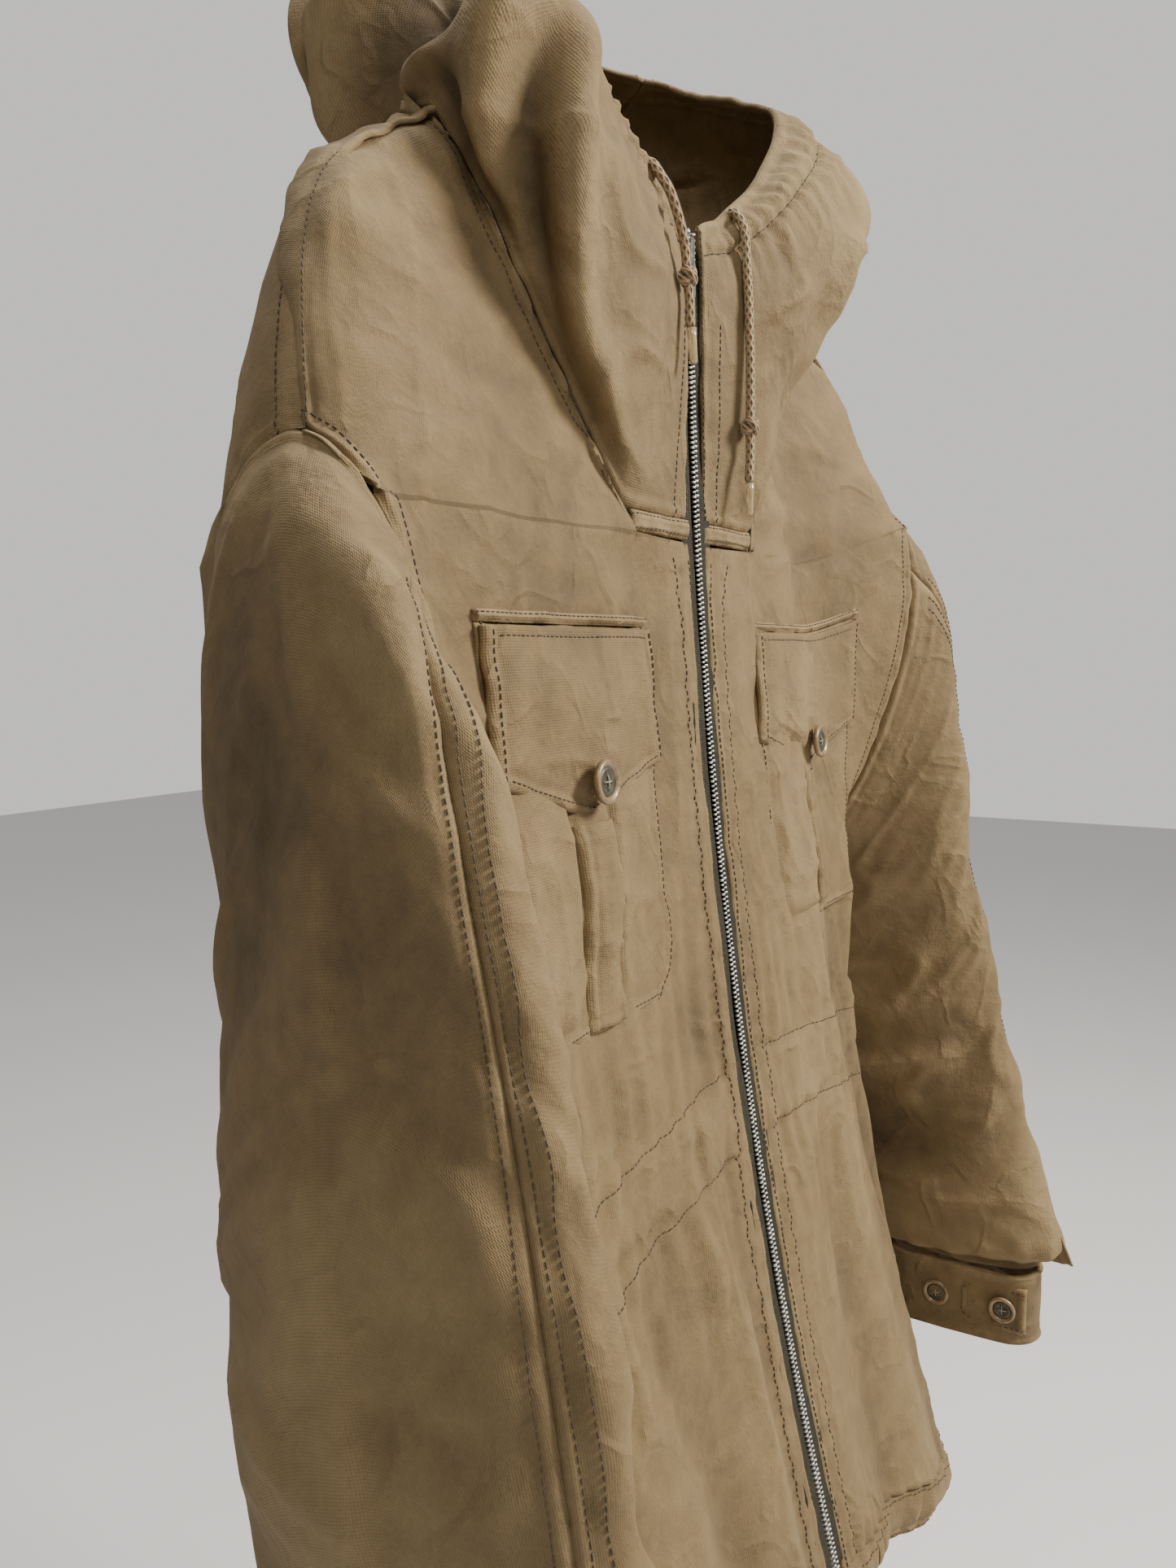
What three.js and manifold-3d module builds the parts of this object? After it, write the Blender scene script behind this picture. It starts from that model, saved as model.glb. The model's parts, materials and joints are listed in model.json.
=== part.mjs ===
// A hooded, zip-fronted field parka, hanging on a hanger. Millimetres, +Z up, front towards -Y,
// +X the wearer's left. The origin is where the hanger carries the shoulders: the middle of the
// garment, at the height of the top of the front zip.
import * as THREE from 'three';
import Module from 'manifold-3d';
import { mergeVertices } from 'three/addons/utils/BufferGeometryUtils.js';

const wasm = await Module();
wasm.setup();

// ---------- driving dimensions ----------
const CLOTH = 2.5;          // two layers of cotton drill and their seam allowance
const THIN = 1.2;           // a single turned layer
const GAP = 0.35;           // clearance between pieces that touch

const ZIP_DEPTH = 60;       // how far the front stands before the hanger at the top of the zip
const ZIP_RADIUS = 2900;    // the front hangs in a long arc of this radius
const ZIP_LENGTH = 716;
const ZIP_SLOT = 9.5;       // half the gap between the two front edges
const TOOTH_GAP = 0.9;      // half the slot between the two rows of teeth
const TOOTH_WIDTH = 2.7;
const TOOTH_DEPTH = 2.4;
const TAPE_WIDTH = 13;
const TAPE_THICK = 0.8;
const FACING_WIDTH = 36;
const SLIDER_WIDTH = 9.2;
const SLIDER_LENGTH = 11.5;
const SLIDER_PLATE = 1.5;
const PULL_LENGTH = 30;
const STOP_LENGTH = 2;
const BOX_LENGTH = 9;

const NECK_HALF = 145;      // shoulder seam starts here
const NECK_RISE = 16;
const BACK_DEPTH = 55;      // how far the back hangs behind the hanger
const YOKE_Z = -161;        // bottom of the chest band
const BAND_HEIGHT = 11;
const BAND_HALF = 70;       // half width of the V inset at its foot
const V_BOW = 12;           // how far the V seam bows outwards
const HEM_Z = -724;         // seam of the hem band at the front
const HEM_DROP = 48;        // how much lower the hem is at the sides and back
const HEM_HEIGHT = 30;
const HEM_CLEAR = 0.9;      // the band turns in below the seam, so it needs more room there
const WAIST_Z = -462;       // middle of the waist casing
const WAIST_HEIGHT = 42;
const WAIST_FROM = 3;       // the casing starts at this column of the front panel, 85 mm from the zip

const ARM_X = 256;          // top of the armhole
const ARM_TOP = -138;
const ARM_BOTTOM_X = 228;
const ARM_BOTTOM = -360;
const ARM_Y = -25;
const ARM_HALF_DEPTH = 58;
const SLEEVE_SEAM = 1.0;    // angle of the sleeve's centre seam from its outer face, radians

const CUFF_TOP = -660;
const CUFF_HEIGHT = 52;
const CUFF_X = 281;
const CUFF_Y = -150;
const CUFF_HALF_X = 20;
const CUFF_HALF_Y = 52;
const TAB_LENGTH = 46;
const TAB_HEIGHT = 34;
const TAB_BUTTON_AT = 30;
const CUFF_BUTTON_R = 9.5;

const POCKET_IN = 65;
const POCKET_WIDTH = 139;
const POCKET_TOP = -207;
const POCKET_HEIGHT = 178;
const POCKET_CHAMFER = 16;
const PLEAT_WIDTH = 30;
const FLAP_SIDE = 63;       // flap height at its sides
const FLAP_TIP = 83;        // and at its point
const FLAP_THICK = 2;
const WELT_HEIGHT = 5;
const BUTTON_R = 10.25;
const BUTTON_THICK = 4;
const BUTTON_DROP = 67;     // button centre below the flap's top edge
const HOLE_CLEAR = 0.8;     // clearance of a flap's hole around its button

const RIM_SHARE = 0.86;     // the drawcord channel takes the last part of the hood
const CORD_R = 2.5;
const KNOT_R = 6.2;
const KNOT_LENGTH = 9;
const AGLET_LENGTH = 17;
const AGLET_R = 1.9;
const LOOP_LENGTH = 64;
const LOOP_WIDTH = 8;
const LOOP_STAND = 7;

// ---------- small helpers ----------
const V = (x, y, z) => new THREE.Vector3(x, y, z);
const mix = (a, b, t) => a + (b - a) * t;
const clamp01 = (t) => Math.min(1, Math.max(0, t));
const ease = (lo, hi, t) => {
  const k = clamp01((t - lo) / (hi - lo));
  return k * k * (3 - 2 * k);
};
const spline = (points) => new THREE.CatmullRomCurve3(points, false, 'catmullrom', 0.5);
// A curve read by its own parameter, so that control point i sits at i / (n - 1).
const along = (curve, t) => curve.getPoint(clamp01(t));

const colours = {
  cloth: [0x82, 0x6c, 0x50, 0.95, 0],
  clothDark: [0x6d, 0x5a, 0x42, 0.95, 0],
  tape: [0x2f, 0x30, 0x28, 0.9, 0],
  teeth: [0xc4, 0xc4, 0xc0, 0.35, 1],
  gunmetal: [0x4b, 0x4c, 0x4e, 0.4, 1],
  button: [0x3e, 0x2c, 0x1a, 0.35, 0],
  cord: [0xa8, 0x86, 0x4e, 0.9, 0],
  aglet: [0xb9, 0xa6, 0x72, 0.35, 0],
};
const group = new THREE.Group();
function add(name, geometry, look, parent = group) {
  const [r, g, b, roughness, metalness] = colours[look];
  const color = new THREE.Color(r / 255, g / 255, b / 255);
  const mesh = new THREE.Mesh(geometry, new THREE.MeshStandardMaterial({ color, roughness, metalness }));
  mesh.name = name;
  parent.add(mesh);
  return mesh;
}

// Turns a list of corners and triangles into a geometry whose faces point out.
function closedGeometry(corners, faces) {
  let volume = 0;
  for (const [a, b, c] of faces) volume += corners[a].dot(V(0, 0, 0).crossVectors(corners[b], corners[c]));
  const geometry = new THREE.BufferGeometry();
  geometry.setAttribute('position', new THREE.Float32BufferAttribute(corners.flatMap((p) => [p.x, p.y, p.z]), 3));
  geometry.setIndex(faces.flatMap(([a, b, c]) => (volume < 0 ? [a, c, b] : [a, b, c])));
  geometry.computeVertexNormals();
  return geometry;
}

// A piece of cloth over the surface point(u, v), from offset `outer` to offset `inner` along the
// surface's outward side, which is the side that `out` names at the piece's middle. Rims close it.
function sheet(point, out, { u = [0, 1], v = [0, 1], columns, rows, outer = 0, inner = -CLOTH }) {
  const step = 1e-3;
  const cross = (s, t) => {
    const du = point(Math.min(u[1], s + step), t).sub(point(Math.max(u[0], s - step), t));
    const dv = point(s, Math.min(v[1], t + step)).sub(point(s, Math.max(v[0], t - step)));
    return du.cross(dv).normalize();
  };
  const facing = Math.sign(cross(mix(...u, 0.5), mix(...v, 0.5)).dot(out));
  const normal = (s, t) => cross(s, t).multiplyScalar(facing);
  const us = Array.from({ length: columns + 1 }, (_, i) => mix(...u, i / columns));
  const vs = Array.from({ length: rows + 1 }, (_, j) => mix(...v, j / rows));
  const corners = [];
  for (const offset of [outer, inner]) {
    for (const t of vs) for (const s of us) corners.push(point(s, t).addScaledVector(normal(s, t), offset));
  }
  const wide = us.length;
  const half = wide * vs.length;
  const faces = [];
  const quad = (a, b, c, d) => faces.push([a, b, c], [a, c, d]);
  for (let j = 0; j + 1 < vs.length; j += 1) {
    for (let i = 0; i + 1 < wide; i += 1) {
      const a = j * wide + i;
      quad(a, a + 1, a + wide + 1, a + wide);
      quad(half + a, half + a + wide, half + a + wide + 1, half + a + 1);
    }
    const right = j * wide + wide - 1;
    quad(j * wide, (j + 1) * wide, half + (j + 1) * wide, half + j * wide);
    quad(right, half + right, half + right + wide, right + wide);
  }
  for (let i = 0; i + 1 < wide; i += 1) {
    const last = half - wide + i;
    quad(i, half + i, half + i + 1, i + 1);
    quad(last, last + 1, half + last + 1, half + last);
  }
  return closedGeometry(corners, faces);
}

// ---------- the body's surfaces, for the wearer's left (x > 0) ----------
const frontY = (z) => Math.sqrt(ZIP_RADIUS ** 2 - z ** 2) - ZIP_RADIUS - ZIP_DEPTH;
const hemZ = (x) => HEM_Z - HEM_DROP * Math.min(1, (x / 200) ** 2);
const backHemZ = HEM_Z - HEM_DROP;
const sideX = (z) => {
  const waist = Math.exp(-(((z - WAIST_Z) / 70) ** 2));
  return ARM_BOTTOM_X + 26 * ease(ARM_BOTTOM, backHemZ, z) - 3 * waist;
};
const sideY = (z) => ARM_Y + (z - ARM_BOTTOM) * 0.08;

// The armhole is an ellipse in a nearly upright plane; `side` is -1 for its front half.
function armhole(z, side) {
  const middle = (ARM_TOP + ARM_BOTTOM) / 2;
  const c = Math.min(1, Math.max(-1, (z - middle) / (ARM_TOP - middle)));
  return V(mix(ARM_BOTTOM_X, ARM_X, (1 + c) / 2), ARM_Y + side * ARM_HALF_DEPTH * Math.sqrt(1 - c * c), z);
}
const outerEdge = (z, side) => (z > ARM_BOTTOM ? armhole(z, side) : V(sideX(z), sideY(z), z));

// Depth of the front (side -1) or back (side 1) below the yoke. Flat over the chest, it rolls
// back to the side seam below the armhole, and swells to meet the armhole above.
function bodyY(x, z, side) {
  const edge = outerEdge(z, side);
  const flat = side < 0 ? frontY(z) : BACK_DEPTH - 3 * Math.exp(-(((z - WAIST_Z) / 80) ** 2));
  const share = Math.min(1, x / edge.x);
  const turn = Math.max(0, (share - 0.72) / 0.28);
  const rolled = mix(sideY(z), flat, (1 - turn ** 2.2) ** (1 / 2.2));
  const roll = ease(ARM_BOTTOM - 15, ARM_BOTTOM - 90, z);
  const edgeY = mix(flat, sideY(z), roll);
  return mix(flat, rolled, roll) + (edge.y - edgeY) * ease(0.9, 1, share) + (side * GAP) / 2;
}
const front = (x, z) => V(x, bodyY(x, z, -1), z);
const back = (x, z) => V(x, bodyY(Math.abs(x), z, 1), z);

// Shoulder seam from the neck over the hanger's end and down to the top of the armhole.
const shoulder = spline([
  V(NECK_HALF, 0, NECK_RISE), V(185, -2, -6), V(220, -6, -32), V(243, -14, -74), V(ARM_X, ARM_Y, ARM_TOP),
]);

// Upper front: t runs from the shoulder seam (0) to the bottom of the chest band (1), s from the
// V seam (0) to the armhole (1).
function upperFront(s, t) {
  const top = along(shoulder, s);
  const edge = armhole(mix(ARM_TOP, YOKE_Z, t), -1);
  const foot = front(mix(BAND_HALF, armhole(YOKE_Z, -1).x, s), YOKE_Z);
  const x = mix(top.x, foot.x, t) + V_BOW * Math.sin(Math.PI * t) * (1 - s);
  const y = mix(top.y, foot.y, t ** 0.6);
  const z = mix(top.z, YOKE_Z, t);
  const pull = ease(0.75, 1, s);
  return V(mix(x, edge.x, pull), mix(y, edge.y, pull), mix(z, edge.z, pull));
}
const vSeam = (t) => upperFront(0, t);

// Upper back: s from the middle (0) over the neckline to the armhole (1).
const NECK_SHARE = 0.5;
const neckline = (x) => V(x, 31 * (1 - (x / NECK_HALF) ** 2) ** 0.6, mix(6, NECK_RISE, (x / NECK_HALF) ** 2));
function upperBack(s, t) {
  const inNeck = s < NECK_SHARE;
  const top = inNeck ? neckline((NECK_HALF * s) / NECK_SHARE) : along(shoulder, (s - NECK_SHARE) / (1 - NECK_SHARE));
  const edge = armhole(mix(ARM_TOP, YOKE_Z, t), 1);
  const foot = back(armhole(YOKE_Z, 1).x * s, YOKE_Z);
  const pull = ease(0.75, 1, s);
  return V(
    mix(mix(top.x, foot.x, t), edge.x, pull),
    mix(mix(top.y, foot.y, t ** 0.6), edge.y, pull),
    mix(mix(top.z, YOKE_Z, t), edge.z, pull),
  );
}

const mirrorX = (sign, point) => (s, t) => {
  const p = point(s, t);
  return p.setX(p.x * sign);
};
const sides = [['right', -1], ['left', 1]];     // the wearer's right is at -X
const spread = (s) => 1 - (1 - s) ** 1.5;       // more columns near the side seam

// A front panel's rows: TOP_ROWS down to the chest band, one narrow row that steps in under the
// band to the zip, and LOW_ROWS down to the hem.
const TOP_ROWS = 5;
const LOW_ROWS = 13;
const FRONT_COLUMNS = 11;
const BODY_ROWS = TOP_ROWS + 1 + LOW_ROWS;
function lowFront(s, k) {
  const low = (x) => mix(YOKE_Z - GAP, hemZ(x), k);
  const x = mix(ZIP_SLOT, outerEdge(low(ARM_BOTTOM_X), -1).x, spread(s));
  return front(x, low(x));
}
function frontPanel(s, t) {
  const row = t * BODY_ROWS;
  const top = (k) => upperFront(mix(0.004, 0.998, s), mix(0.004, 1, k));
  if (row <= TOP_ROWS) return top(row / TOP_ROWS);
  if (row < TOP_ROWS + 1) return top(1).lerp(lowFront(s, 0), row - TOP_ROWS);
  return lowFront(s, (row - TOP_ROWS - 1) / LOW_ROWS);
}
const backTop = (u, t) => upperBack(mix(0, 0.998, u), mix(0.004, 1, t));
const BACK_ROWS = TOP_ROWS + LOW_ROWS;
function backPanel(s, t) {
  const row = t * BACK_ROWS;
  const u = Math.abs(s);
  const k = (row - TOP_ROWS) / LOW_ROWS;
  const z = mix(YOKE_Z, backHemZ, k);
  const p = k <= 0 ? backTop(u, row / TOP_ROWS) : back(outerEdge(z, 1).x * mix(u, spread(u), ease(0, 0.3, k)), z);
  return p.setX(p.x * Math.sign(s));
}

for (const [side, sign] of sides) {
  const panel = mirrorX(sign, frontPanel);
  add(`front_panel_${side}`, sheet(panel, V(0, -1, 0), { columns: FRONT_COLUMNS, rows: BODY_ROWS }), 'cloth');
}
add('back_panel', sheet(backPanel, V(0, 1, 0), { u: [-1, 1], columns: 2 * FRONT_COLUMNS, rows: BACK_ROWS }), 'cloth');


// ---------- strips that follow the zip ----------
// A strip between two distances from the middle, at two offsets from the front's outer face.
function zipStrip(sign, x0, x1, z0, z1, outer, inner, rows = 18) {
  const path = (s, t) => V(sign * mix(x0, x1, s), frontY(mix(z0, z1, t)), mix(z0, z1, t));
  return sheet(path, V(0, -1, 0), { columns: 1, rows, outer, inner });
}
const tapeOuter = -CLOTH - GAP;
const tapeInner = tapeOuter - TAPE_THICK;
const toothOuter = (tapeOuter + tapeInner) / 2 + TOOTH_DEPTH / 2;
const toothInner = toothOuter - TOOTH_DEPTH;
const toothEdge = TOOTH_GAP + TOOTH_WIDTH;
const chainTop = -STOP_LENGTH - GAP;
const chainFoot = -ZIP_LENGTH + BOX_LENGTH + GAP;

// ---------- hood: a net of points, across from the left zip edge to the right, up to the rim ----------
// Each row runs from the garment's seam to the rim; the first point of a row is set by the seam.
const hoodNet = [
  [V(12, -60, -148), V(12, -60, -118), V(12, -60, -85), V(12, -60, -50), V(12, -60, -22), V(12, -60, 0)],
  [V(72, -60, -148), V(67, -64, -110), V(61, -68, -72), V(54, -71, -36), V(46, -70, -5), V(38, -62, 19)],
  [V(122, -46, -67), V(122, -66, -46), V(120, -84, -24), V(112, -94, 4), V(95, -88, 34), V(76, -65, 50)],
  [V(145, 0, 16), V(166, -26, 26), V(174, -60, 36), V(164, -84, 52), V(142, -78, 80), V(119, -57, 101)],
  [V(110, 15, 12), V(162, 40, 26), V(186, 42, 60), V(180, 26, 98), V(158, 10, 128), V(128, -2, 129)],
  [V(55, 26, 8), V(86, 75, 4), V(98, 122, 24), V(100, 142, 78), V(98, 118, 134), V(92, 74, 156)],
  [V(0, 31, 6), V(0, 84, -12), V(0, 142, 6), V(0, 168, 72), V(2, 148, 132), V(12, 104, 158)],
  [V(-55, 26, 8), V(-86, 72, 4), V(-98, 114, 24), V(-102, 128, 72), V(-88, 106, 120), V(-58, 72, 136)],
  [V(-110, 15, 12), V(-140, 44, 28), V(-144, 56, 62), V(-130, 52, 98), V(-104, 34, 110), V(-77, 15, 99)],
  [V(-145, 0, 16), V(-160, -14, 34), V(-153, -32, 56), V(-128, -38, 72), V(-94, -30, 76), V(-65, -20, 75)],
  [V(-122, -46, -67), V(-128, -60, -42), V(-128, -68, -12), V(-108, -66, 24), V(-78, -54, 46), V(-50, -38, 52)],
  [V(-72, -60, -148), V(-72, -68, -110), V(-70, -75, -72), V(-62, -77, -36), V(-47, -64, 2), V(-33, -50, 25)],
  [V(-12, -60, -148), V(-12, -60, -118), V(-12, -60, -85), V(-12, -60, -50), V(-12, -60, -22), V(-12, -60, 0)],
];
const hoodRows = hoodNet[0].map((_, j) => spline(hoodNet.map((column) => column[j])));
const lastColumn = hoodNet.length - 1;
const bandTop = YOKE_Z + BAND_HEIGHT;
// The seam that the hood is sewn to: chest band, V seam, neckline and back again.
const SEAM_CLEAR = GAP + 0.3;
const V_FOOT = 1 - BAND_HEIGHT / (NECK_RISE - YOKE_Z);
function hoodSeam(a) {
  const k = Math.abs(a - 0.5) * lastColumn;    // 0 at the back, 3 at the shoulder, 6 at the zip
  const sign = a < 0.5 ? 1 : -1;
  if (k <= 3) return neckline((NECK_HALF * k) / 3).multiply(V(sign, 1, 1)).add(V(0, 0, 1.5));
  const p = k > 5 ? front(mix(BAND_HALF, ZIP_SLOT, k - 5), bandTop + GAP) : vSeam(mix(0.01, V_FOOT, (k - 3) / 2));
  const side = k > 5 ? (6 - k) * SEAM_CLEAR : SEAM_CLEAR;
  return p.set(sign * (p.x - side), p.y, p.z + 1.5 * ease(3.6, 3, k));
}
function hood(a, b) {
  const net = new THREE.CatmullRomCurve3(hoodRows.map((row) => along(row, a)), false, 'catmullrom', 0.5);
  const p = along(net, b);
  p.add(hoodSeam(a).sub(along(net, 0)).multiplyScalar((1 - b) ** 3));
  const edge = Math.min(a, 1 - a) * lastColumn;
  return p.setX(mix(Math.sign(0.5 - a) * ZIP_SLOT, p.x, ease(0, 0.7, edge)));
}
const HOOD_COLUMNS = 30;
const SIDE_COLUMNS = 11;     // of these, on each side of the crown strip
const crownFrom = SIDE_COLUMNS / HOOD_COLUMNS;
const crownTo = 1 - crownFrom;
const seamGap = 0.0006;
const hoodTo = RIM_SHARE - 0.006;
add('hood_side_left', sheet(hood, V(1, -1, 0), { u: [0, crownFrom - seamGap], v: [0, hoodTo], columns: SIDE_COLUMNS, rows: 7 }), 'cloth');
add('hood_crown', sheet(hood, V(0, 1, 0), { u: [crownFrom, crownTo], v: [0, hoodTo], columns: HOOD_COLUMNS - 2 * SIDE_COLUMNS, rows: 7 }), 'cloth');
add('hood_side_right', sheet(hood, V(-1, -1, 0), { u: [crownTo + seamGap, 1], v: [0, hoodTo], columns: SIDE_COLUMNS, rows: 7 }), 'cloth');
const rim = { v: [RIM_SHARE, 1], rows: 2 };
add('hood_rim_left', sheet(hood, V(1, -1, 0), { u: [0, 0.5 - seamGap], columns: HOOD_COLUMNS / 2, ...rim }), 'cloth');
add('hood_rim_right', sheet(hood, V(-1, -1, 0), { u: [0.5, 1], columns: HOOD_COLUMNS / 2, ...rim }), 'cloth');

// ---------- sleeves: four guide lines from the armhole to the cuff ----------
const cuffAt = (x, y) => V(CUFF_X + x * CUFF_HALF_X, CUFF_Y + y * CUFF_HALF_Y, CUFF_TOP + GAP);
const armMiddle = (ARM_TOP + ARM_BOTTOM) / 2;
const armMiddleX = (ARM_X + ARM_BOTTOM_X) / 2;
const guides = {
  outer: spline([V(ARM_X, ARM_Y, ARM_TOP), V(283, -42, -182), V(297, -62, -262), V(302, -80, -360),
    V(304, -96, -480), V(304, -112, -580), V(306, -134, -636), cuffAt(1, 0)]),
  inner: spline([V(ARM_BOTTOM_X, ARM_Y, ARM_BOTTOM), V(238, -38, -390), V(241, -56, -428), V(243, -78, -486),
    V(246, -98, -546), V(250, -115, -604), V(256, -138, -640), cuffAt(-1, 0)]),
  front: spline([V(armMiddleX, ARM_Y - ARM_HALF_DEPTH, armMiddle), V(260, -110, -274), V(270, -134, -334),
    V(274, -154, -404), V(277, -172, -484), V(279, -186, -562), V(281, -204, -634), cuffAt(0, -1)]),
  back: spline([V(armMiddleX, ARM_Y + ARM_HALF_DEPTH, armMiddle), V(262, 16, -292), V(270, 3, -352),
    V(273, -3, -422), V(275, -8, -502), V(277, -22, -572), V(280, -66, -636), cuffAt(0, 1)]),
};
// Angle 0 is the outer face, a quarter turn the front edge, half a turn the underarm.
function sleeve(angle, t) {
  const [o, f, i, b] = [guides.outer, guides.front, guides.inner, guides.back].map((g) => along(g, t));
  const c = Math.cos(angle);
  const s = Math.sin(angle);
  const across = o.clone().add(i).multiplyScalar((c * c) / 2).add(f.clone().add(b).multiplyScalar((s * s) / 2));
  return across.add(o.sub(i).multiplyScalar(c / 2)).add(f.sub(b).multiplyScalar(s / 2)).add(V(GAP + 0.15 + 1.2 * CLOTH * ease(0.1, 0, t), 0, 0));
}
const sleeveArc = { v: [0, 1], columns: 11, rows: 13 };
const seamAngle = 0.006;
for (const [side, sign] of sides) {
  const half = (from, to) => mirrorX(sign, (s, t) => sleeve(mix(from, to, s), t));
  const frontHalf = half(SLEEVE_SEAM + seamAngle, SLEEVE_SEAM + Math.PI - seamAngle);
  const backHalf = half(SLEEVE_SEAM + Math.PI + seamAngle, SLEEVE_SEAM + 2 * Math.PI - seamAngle);
  add(`sleeve_front_${side}`, sheet(frontHalf, V(0, -1, 0), sleeveArc), 'cloth');
  add(`sleeve_back_${side}`, sheet(backHalf, V(0, 1, 0), sleeveArc), 'clothDark');
}

// ---------- cuffs ----------
const ellipse = (x, y, rx, ry) => new THREE.Shape().absellipse(x, y, rx, ry, 0, 2 * Math.PI, false, 0);
const turned = (profile, segments = 16) => new THREE.LatheGeometry(profile.map(([r, h]) => new THREE.Vector2(r, h)), segments);
// A sewn button: shank side down, dished face up, along +Y of its own frame.
const button = (r, thick) => turned([[0, 0], [r * 0.55, 0], [r * 0.9, thick * 0.25], [r, thick * 0.6], [r * 0.93, thick],
  [r * 0.8, thick * 0.85], [r * 0.7, thick * 0.62], [0, thick * 0.62]], 18);
// A cuff's outline, set in by `inset`: two flat faces joined by half-round ends.
function flatRing(path, x, inset) {
  const r = CUFF_HALF_X - inset;
  const straight = CUFF_HALF_Y - CUFF_HALF_X;
  path.absarc(x, CUFF_Y + straight, r, 0, Math.PI, false);
  path.absarc(x, CUFF_Y - straight, r, Math.PI, 2 * Math.PI, false);
  path.closePath();
  return path;
}
for (const [side, sign] of sides) {
  const ring = flatRing(new THREE.Shape(), sign * CUFF_X, 0);
  ring.holes.push(flatRing(new THREE.Path(), sign * CUFF_X, CLOTH));
  const cuff = new THREE.ExtrudeGeometry(ring, { depth: CUFF_HEIGHT, bevelEnabled: false, curveSegments: 12 });
  add(`cuff_${side}`, cuff.translate(0, 0, CUFF_TOP - CUFF_HEIGHT), 'cloth');
}

// ---------- hem band ----------
const hemRows = { rows: 2, outer: 0, inner: -CLOTH };
const hemPull = (t) => 1 - 0.035 * t * t;
for (const [side, sign] of sides) {
  const frontHem = mirrorX(sign, (s, t) => {
    const x = mix(ZIP_SLOT, outerEdge(backHemZ, -1).x, spread(s));
    const top = front(x, hemZ(x));
    return V(x * mix(1, hemPull(t), s), top.y * hemPull(t), top.z - HEM_CLEAR - HEM_HEIGHT * t);
  });
  add(`hem_band_${side}`, sheet(frontHem, V(0, -1, 0), { columns: FRONT_COLUMNS, ...hemRows }), 'clothDark');
}
const backHem = (s, t) => {
  const u = Math.abs(s);
  const top = back(outerEdge(backHemZ, 1).x * spread(u), backHemZ);
  return V(top.x * Math.sign(s) * mix(1, hemPull(t), u), top.y * hemPull(t), top.z - HEM_CLEAR - HEM_HEIGHT * t);
};
add('hem_band_back', sheet(backHem, V(0, 1, 0), { u: [-1, 1], columns: 2 * FRONT_COLUMNS, ...hemRows }), 'clothDark');

// ---------- chest band, facings, tapes, teeth ----------
for (const [side, sign] of sides) {
  const band = mirrorX(sign, (s, t) => front(mix(ZIP_SLOT, BAND_HALF, s), mix(YOKE_Z + GAP, bandTop - GAP, t)));
  add(`chest_band_${side}`, sheet(band, V(0, -1, 0), { columns: 3, rows: 1 }), 'cloth');
  const facing = tapeInner - GAP;
  add(`zip_facing_${side}`, zipStrip(sign, ZIP_SLOT, ZIP_SLOT + FACING_WIDTH, -20, HEM_Z + 2, facing, facing - THIN), 'cloth');
  add(`zip_tape_${side}`, zipStrip(sign, toothEdge + GAP, toothEdge + TAPE_WIDTH, -9, -ZIP_LENGTH, tapeOuter, tapeInner), 'tape');
  add(`zip_teeth_${side}`, zipStrip(sign, TOOTH_GAP, toothEdge, chainTop, chainFoot, toothOuter, toothInner), 'teeth');
  add(`zip_top_stop_${side}`, zipStrip(sign, TOOTH_GAP, toothEdge, 0, -STOP_LENGTH, toothOuter + 0.3, toothInner - 0.3, 1), 'teeth');
}
const boxHalf = toothEdge + 0.8;
add('zip_bottom_box', (() => {
  const path = (s, t) => V(mix(-boxHalf, boxHalf, s), frontY(mix(-ZIP_LENGTH + BOX_LENGTH, -ZIP_LENGTH, t)),
    mix(-ZIP_LENGTH + BOX_LENGTH, -ZIP_LENGTH, t));
  return sheet(path, V(0, -1, 0), { columns: 1, rows: 1, outer: toothOuter + 0.6, inner: tapeOuter + 0.3 });
})(), 'teeth');

// The slider: a plate before and a plate behind the teeth, joined by a web in the slot between them.
const sliderTop = chainTop - 0.4;
const sliderPlate = (half, depth, y) => {
  const box = new THREE.BoxGeometry(2 * half, depth, SLIDER_LENGTH);
  return box.translate(0, y, sliderTop - SLIDER_LENGTH / 2);
};
function solid(geometry) {
  geometry.deleteAttribute('normal');
  geometry.deleteAttribute('uv');
  const merged = mergeVertices(geometry, 1e-4);
  return new wasm.Manifold(new wasm.Mesh({
    numProp: 3,
    vertProperties: new Float32Array(merged.attributes.position.array),
    triVerts: new Uint32Array(merged.index.array),
  }));
}
function geometryOf(manifold) {
  const mesh = manifold.getMesh();
  const geometry = new THREE.BufferGeometry();
  geometry.setAttribute('position', new THREE.BufferAttribute(mesh.vertProperties, 3));
  geometry.setIndex(new THREE.BufferAttribute(mesh.triVerts, 1));
  geometry.computeVertexNormals();
  return geometry;
}
const faceY = frontY(sliderTop - SLIDER_LENGTH / 2);
const plateBack = faceY - toothOuter - GAP - 0.1;
const plateRear = faceY - toothInner + GAP + 0.1;
const plateFront = plateBack - SLIDER_PLATE;
const slider = solid(sliderPlate(SLIDER_WIDTH / 2, SLIDER_PLATE, plateBack - SLIDER_PLATE / 2))
  .add(solid(sliderPlate(SLIDER_WIDTH / 2, SLIDER_PLATE, plateRear + SLIDER_PLATE / 2)))
  .add(solid(sliderPlate(TOOTH_GAP - GAP, plateRear - plateBack + 1, (plateRear + plateBack) / 2)));
add('zip_slider', geometryOf(slider), 'gunmetal');

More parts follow.
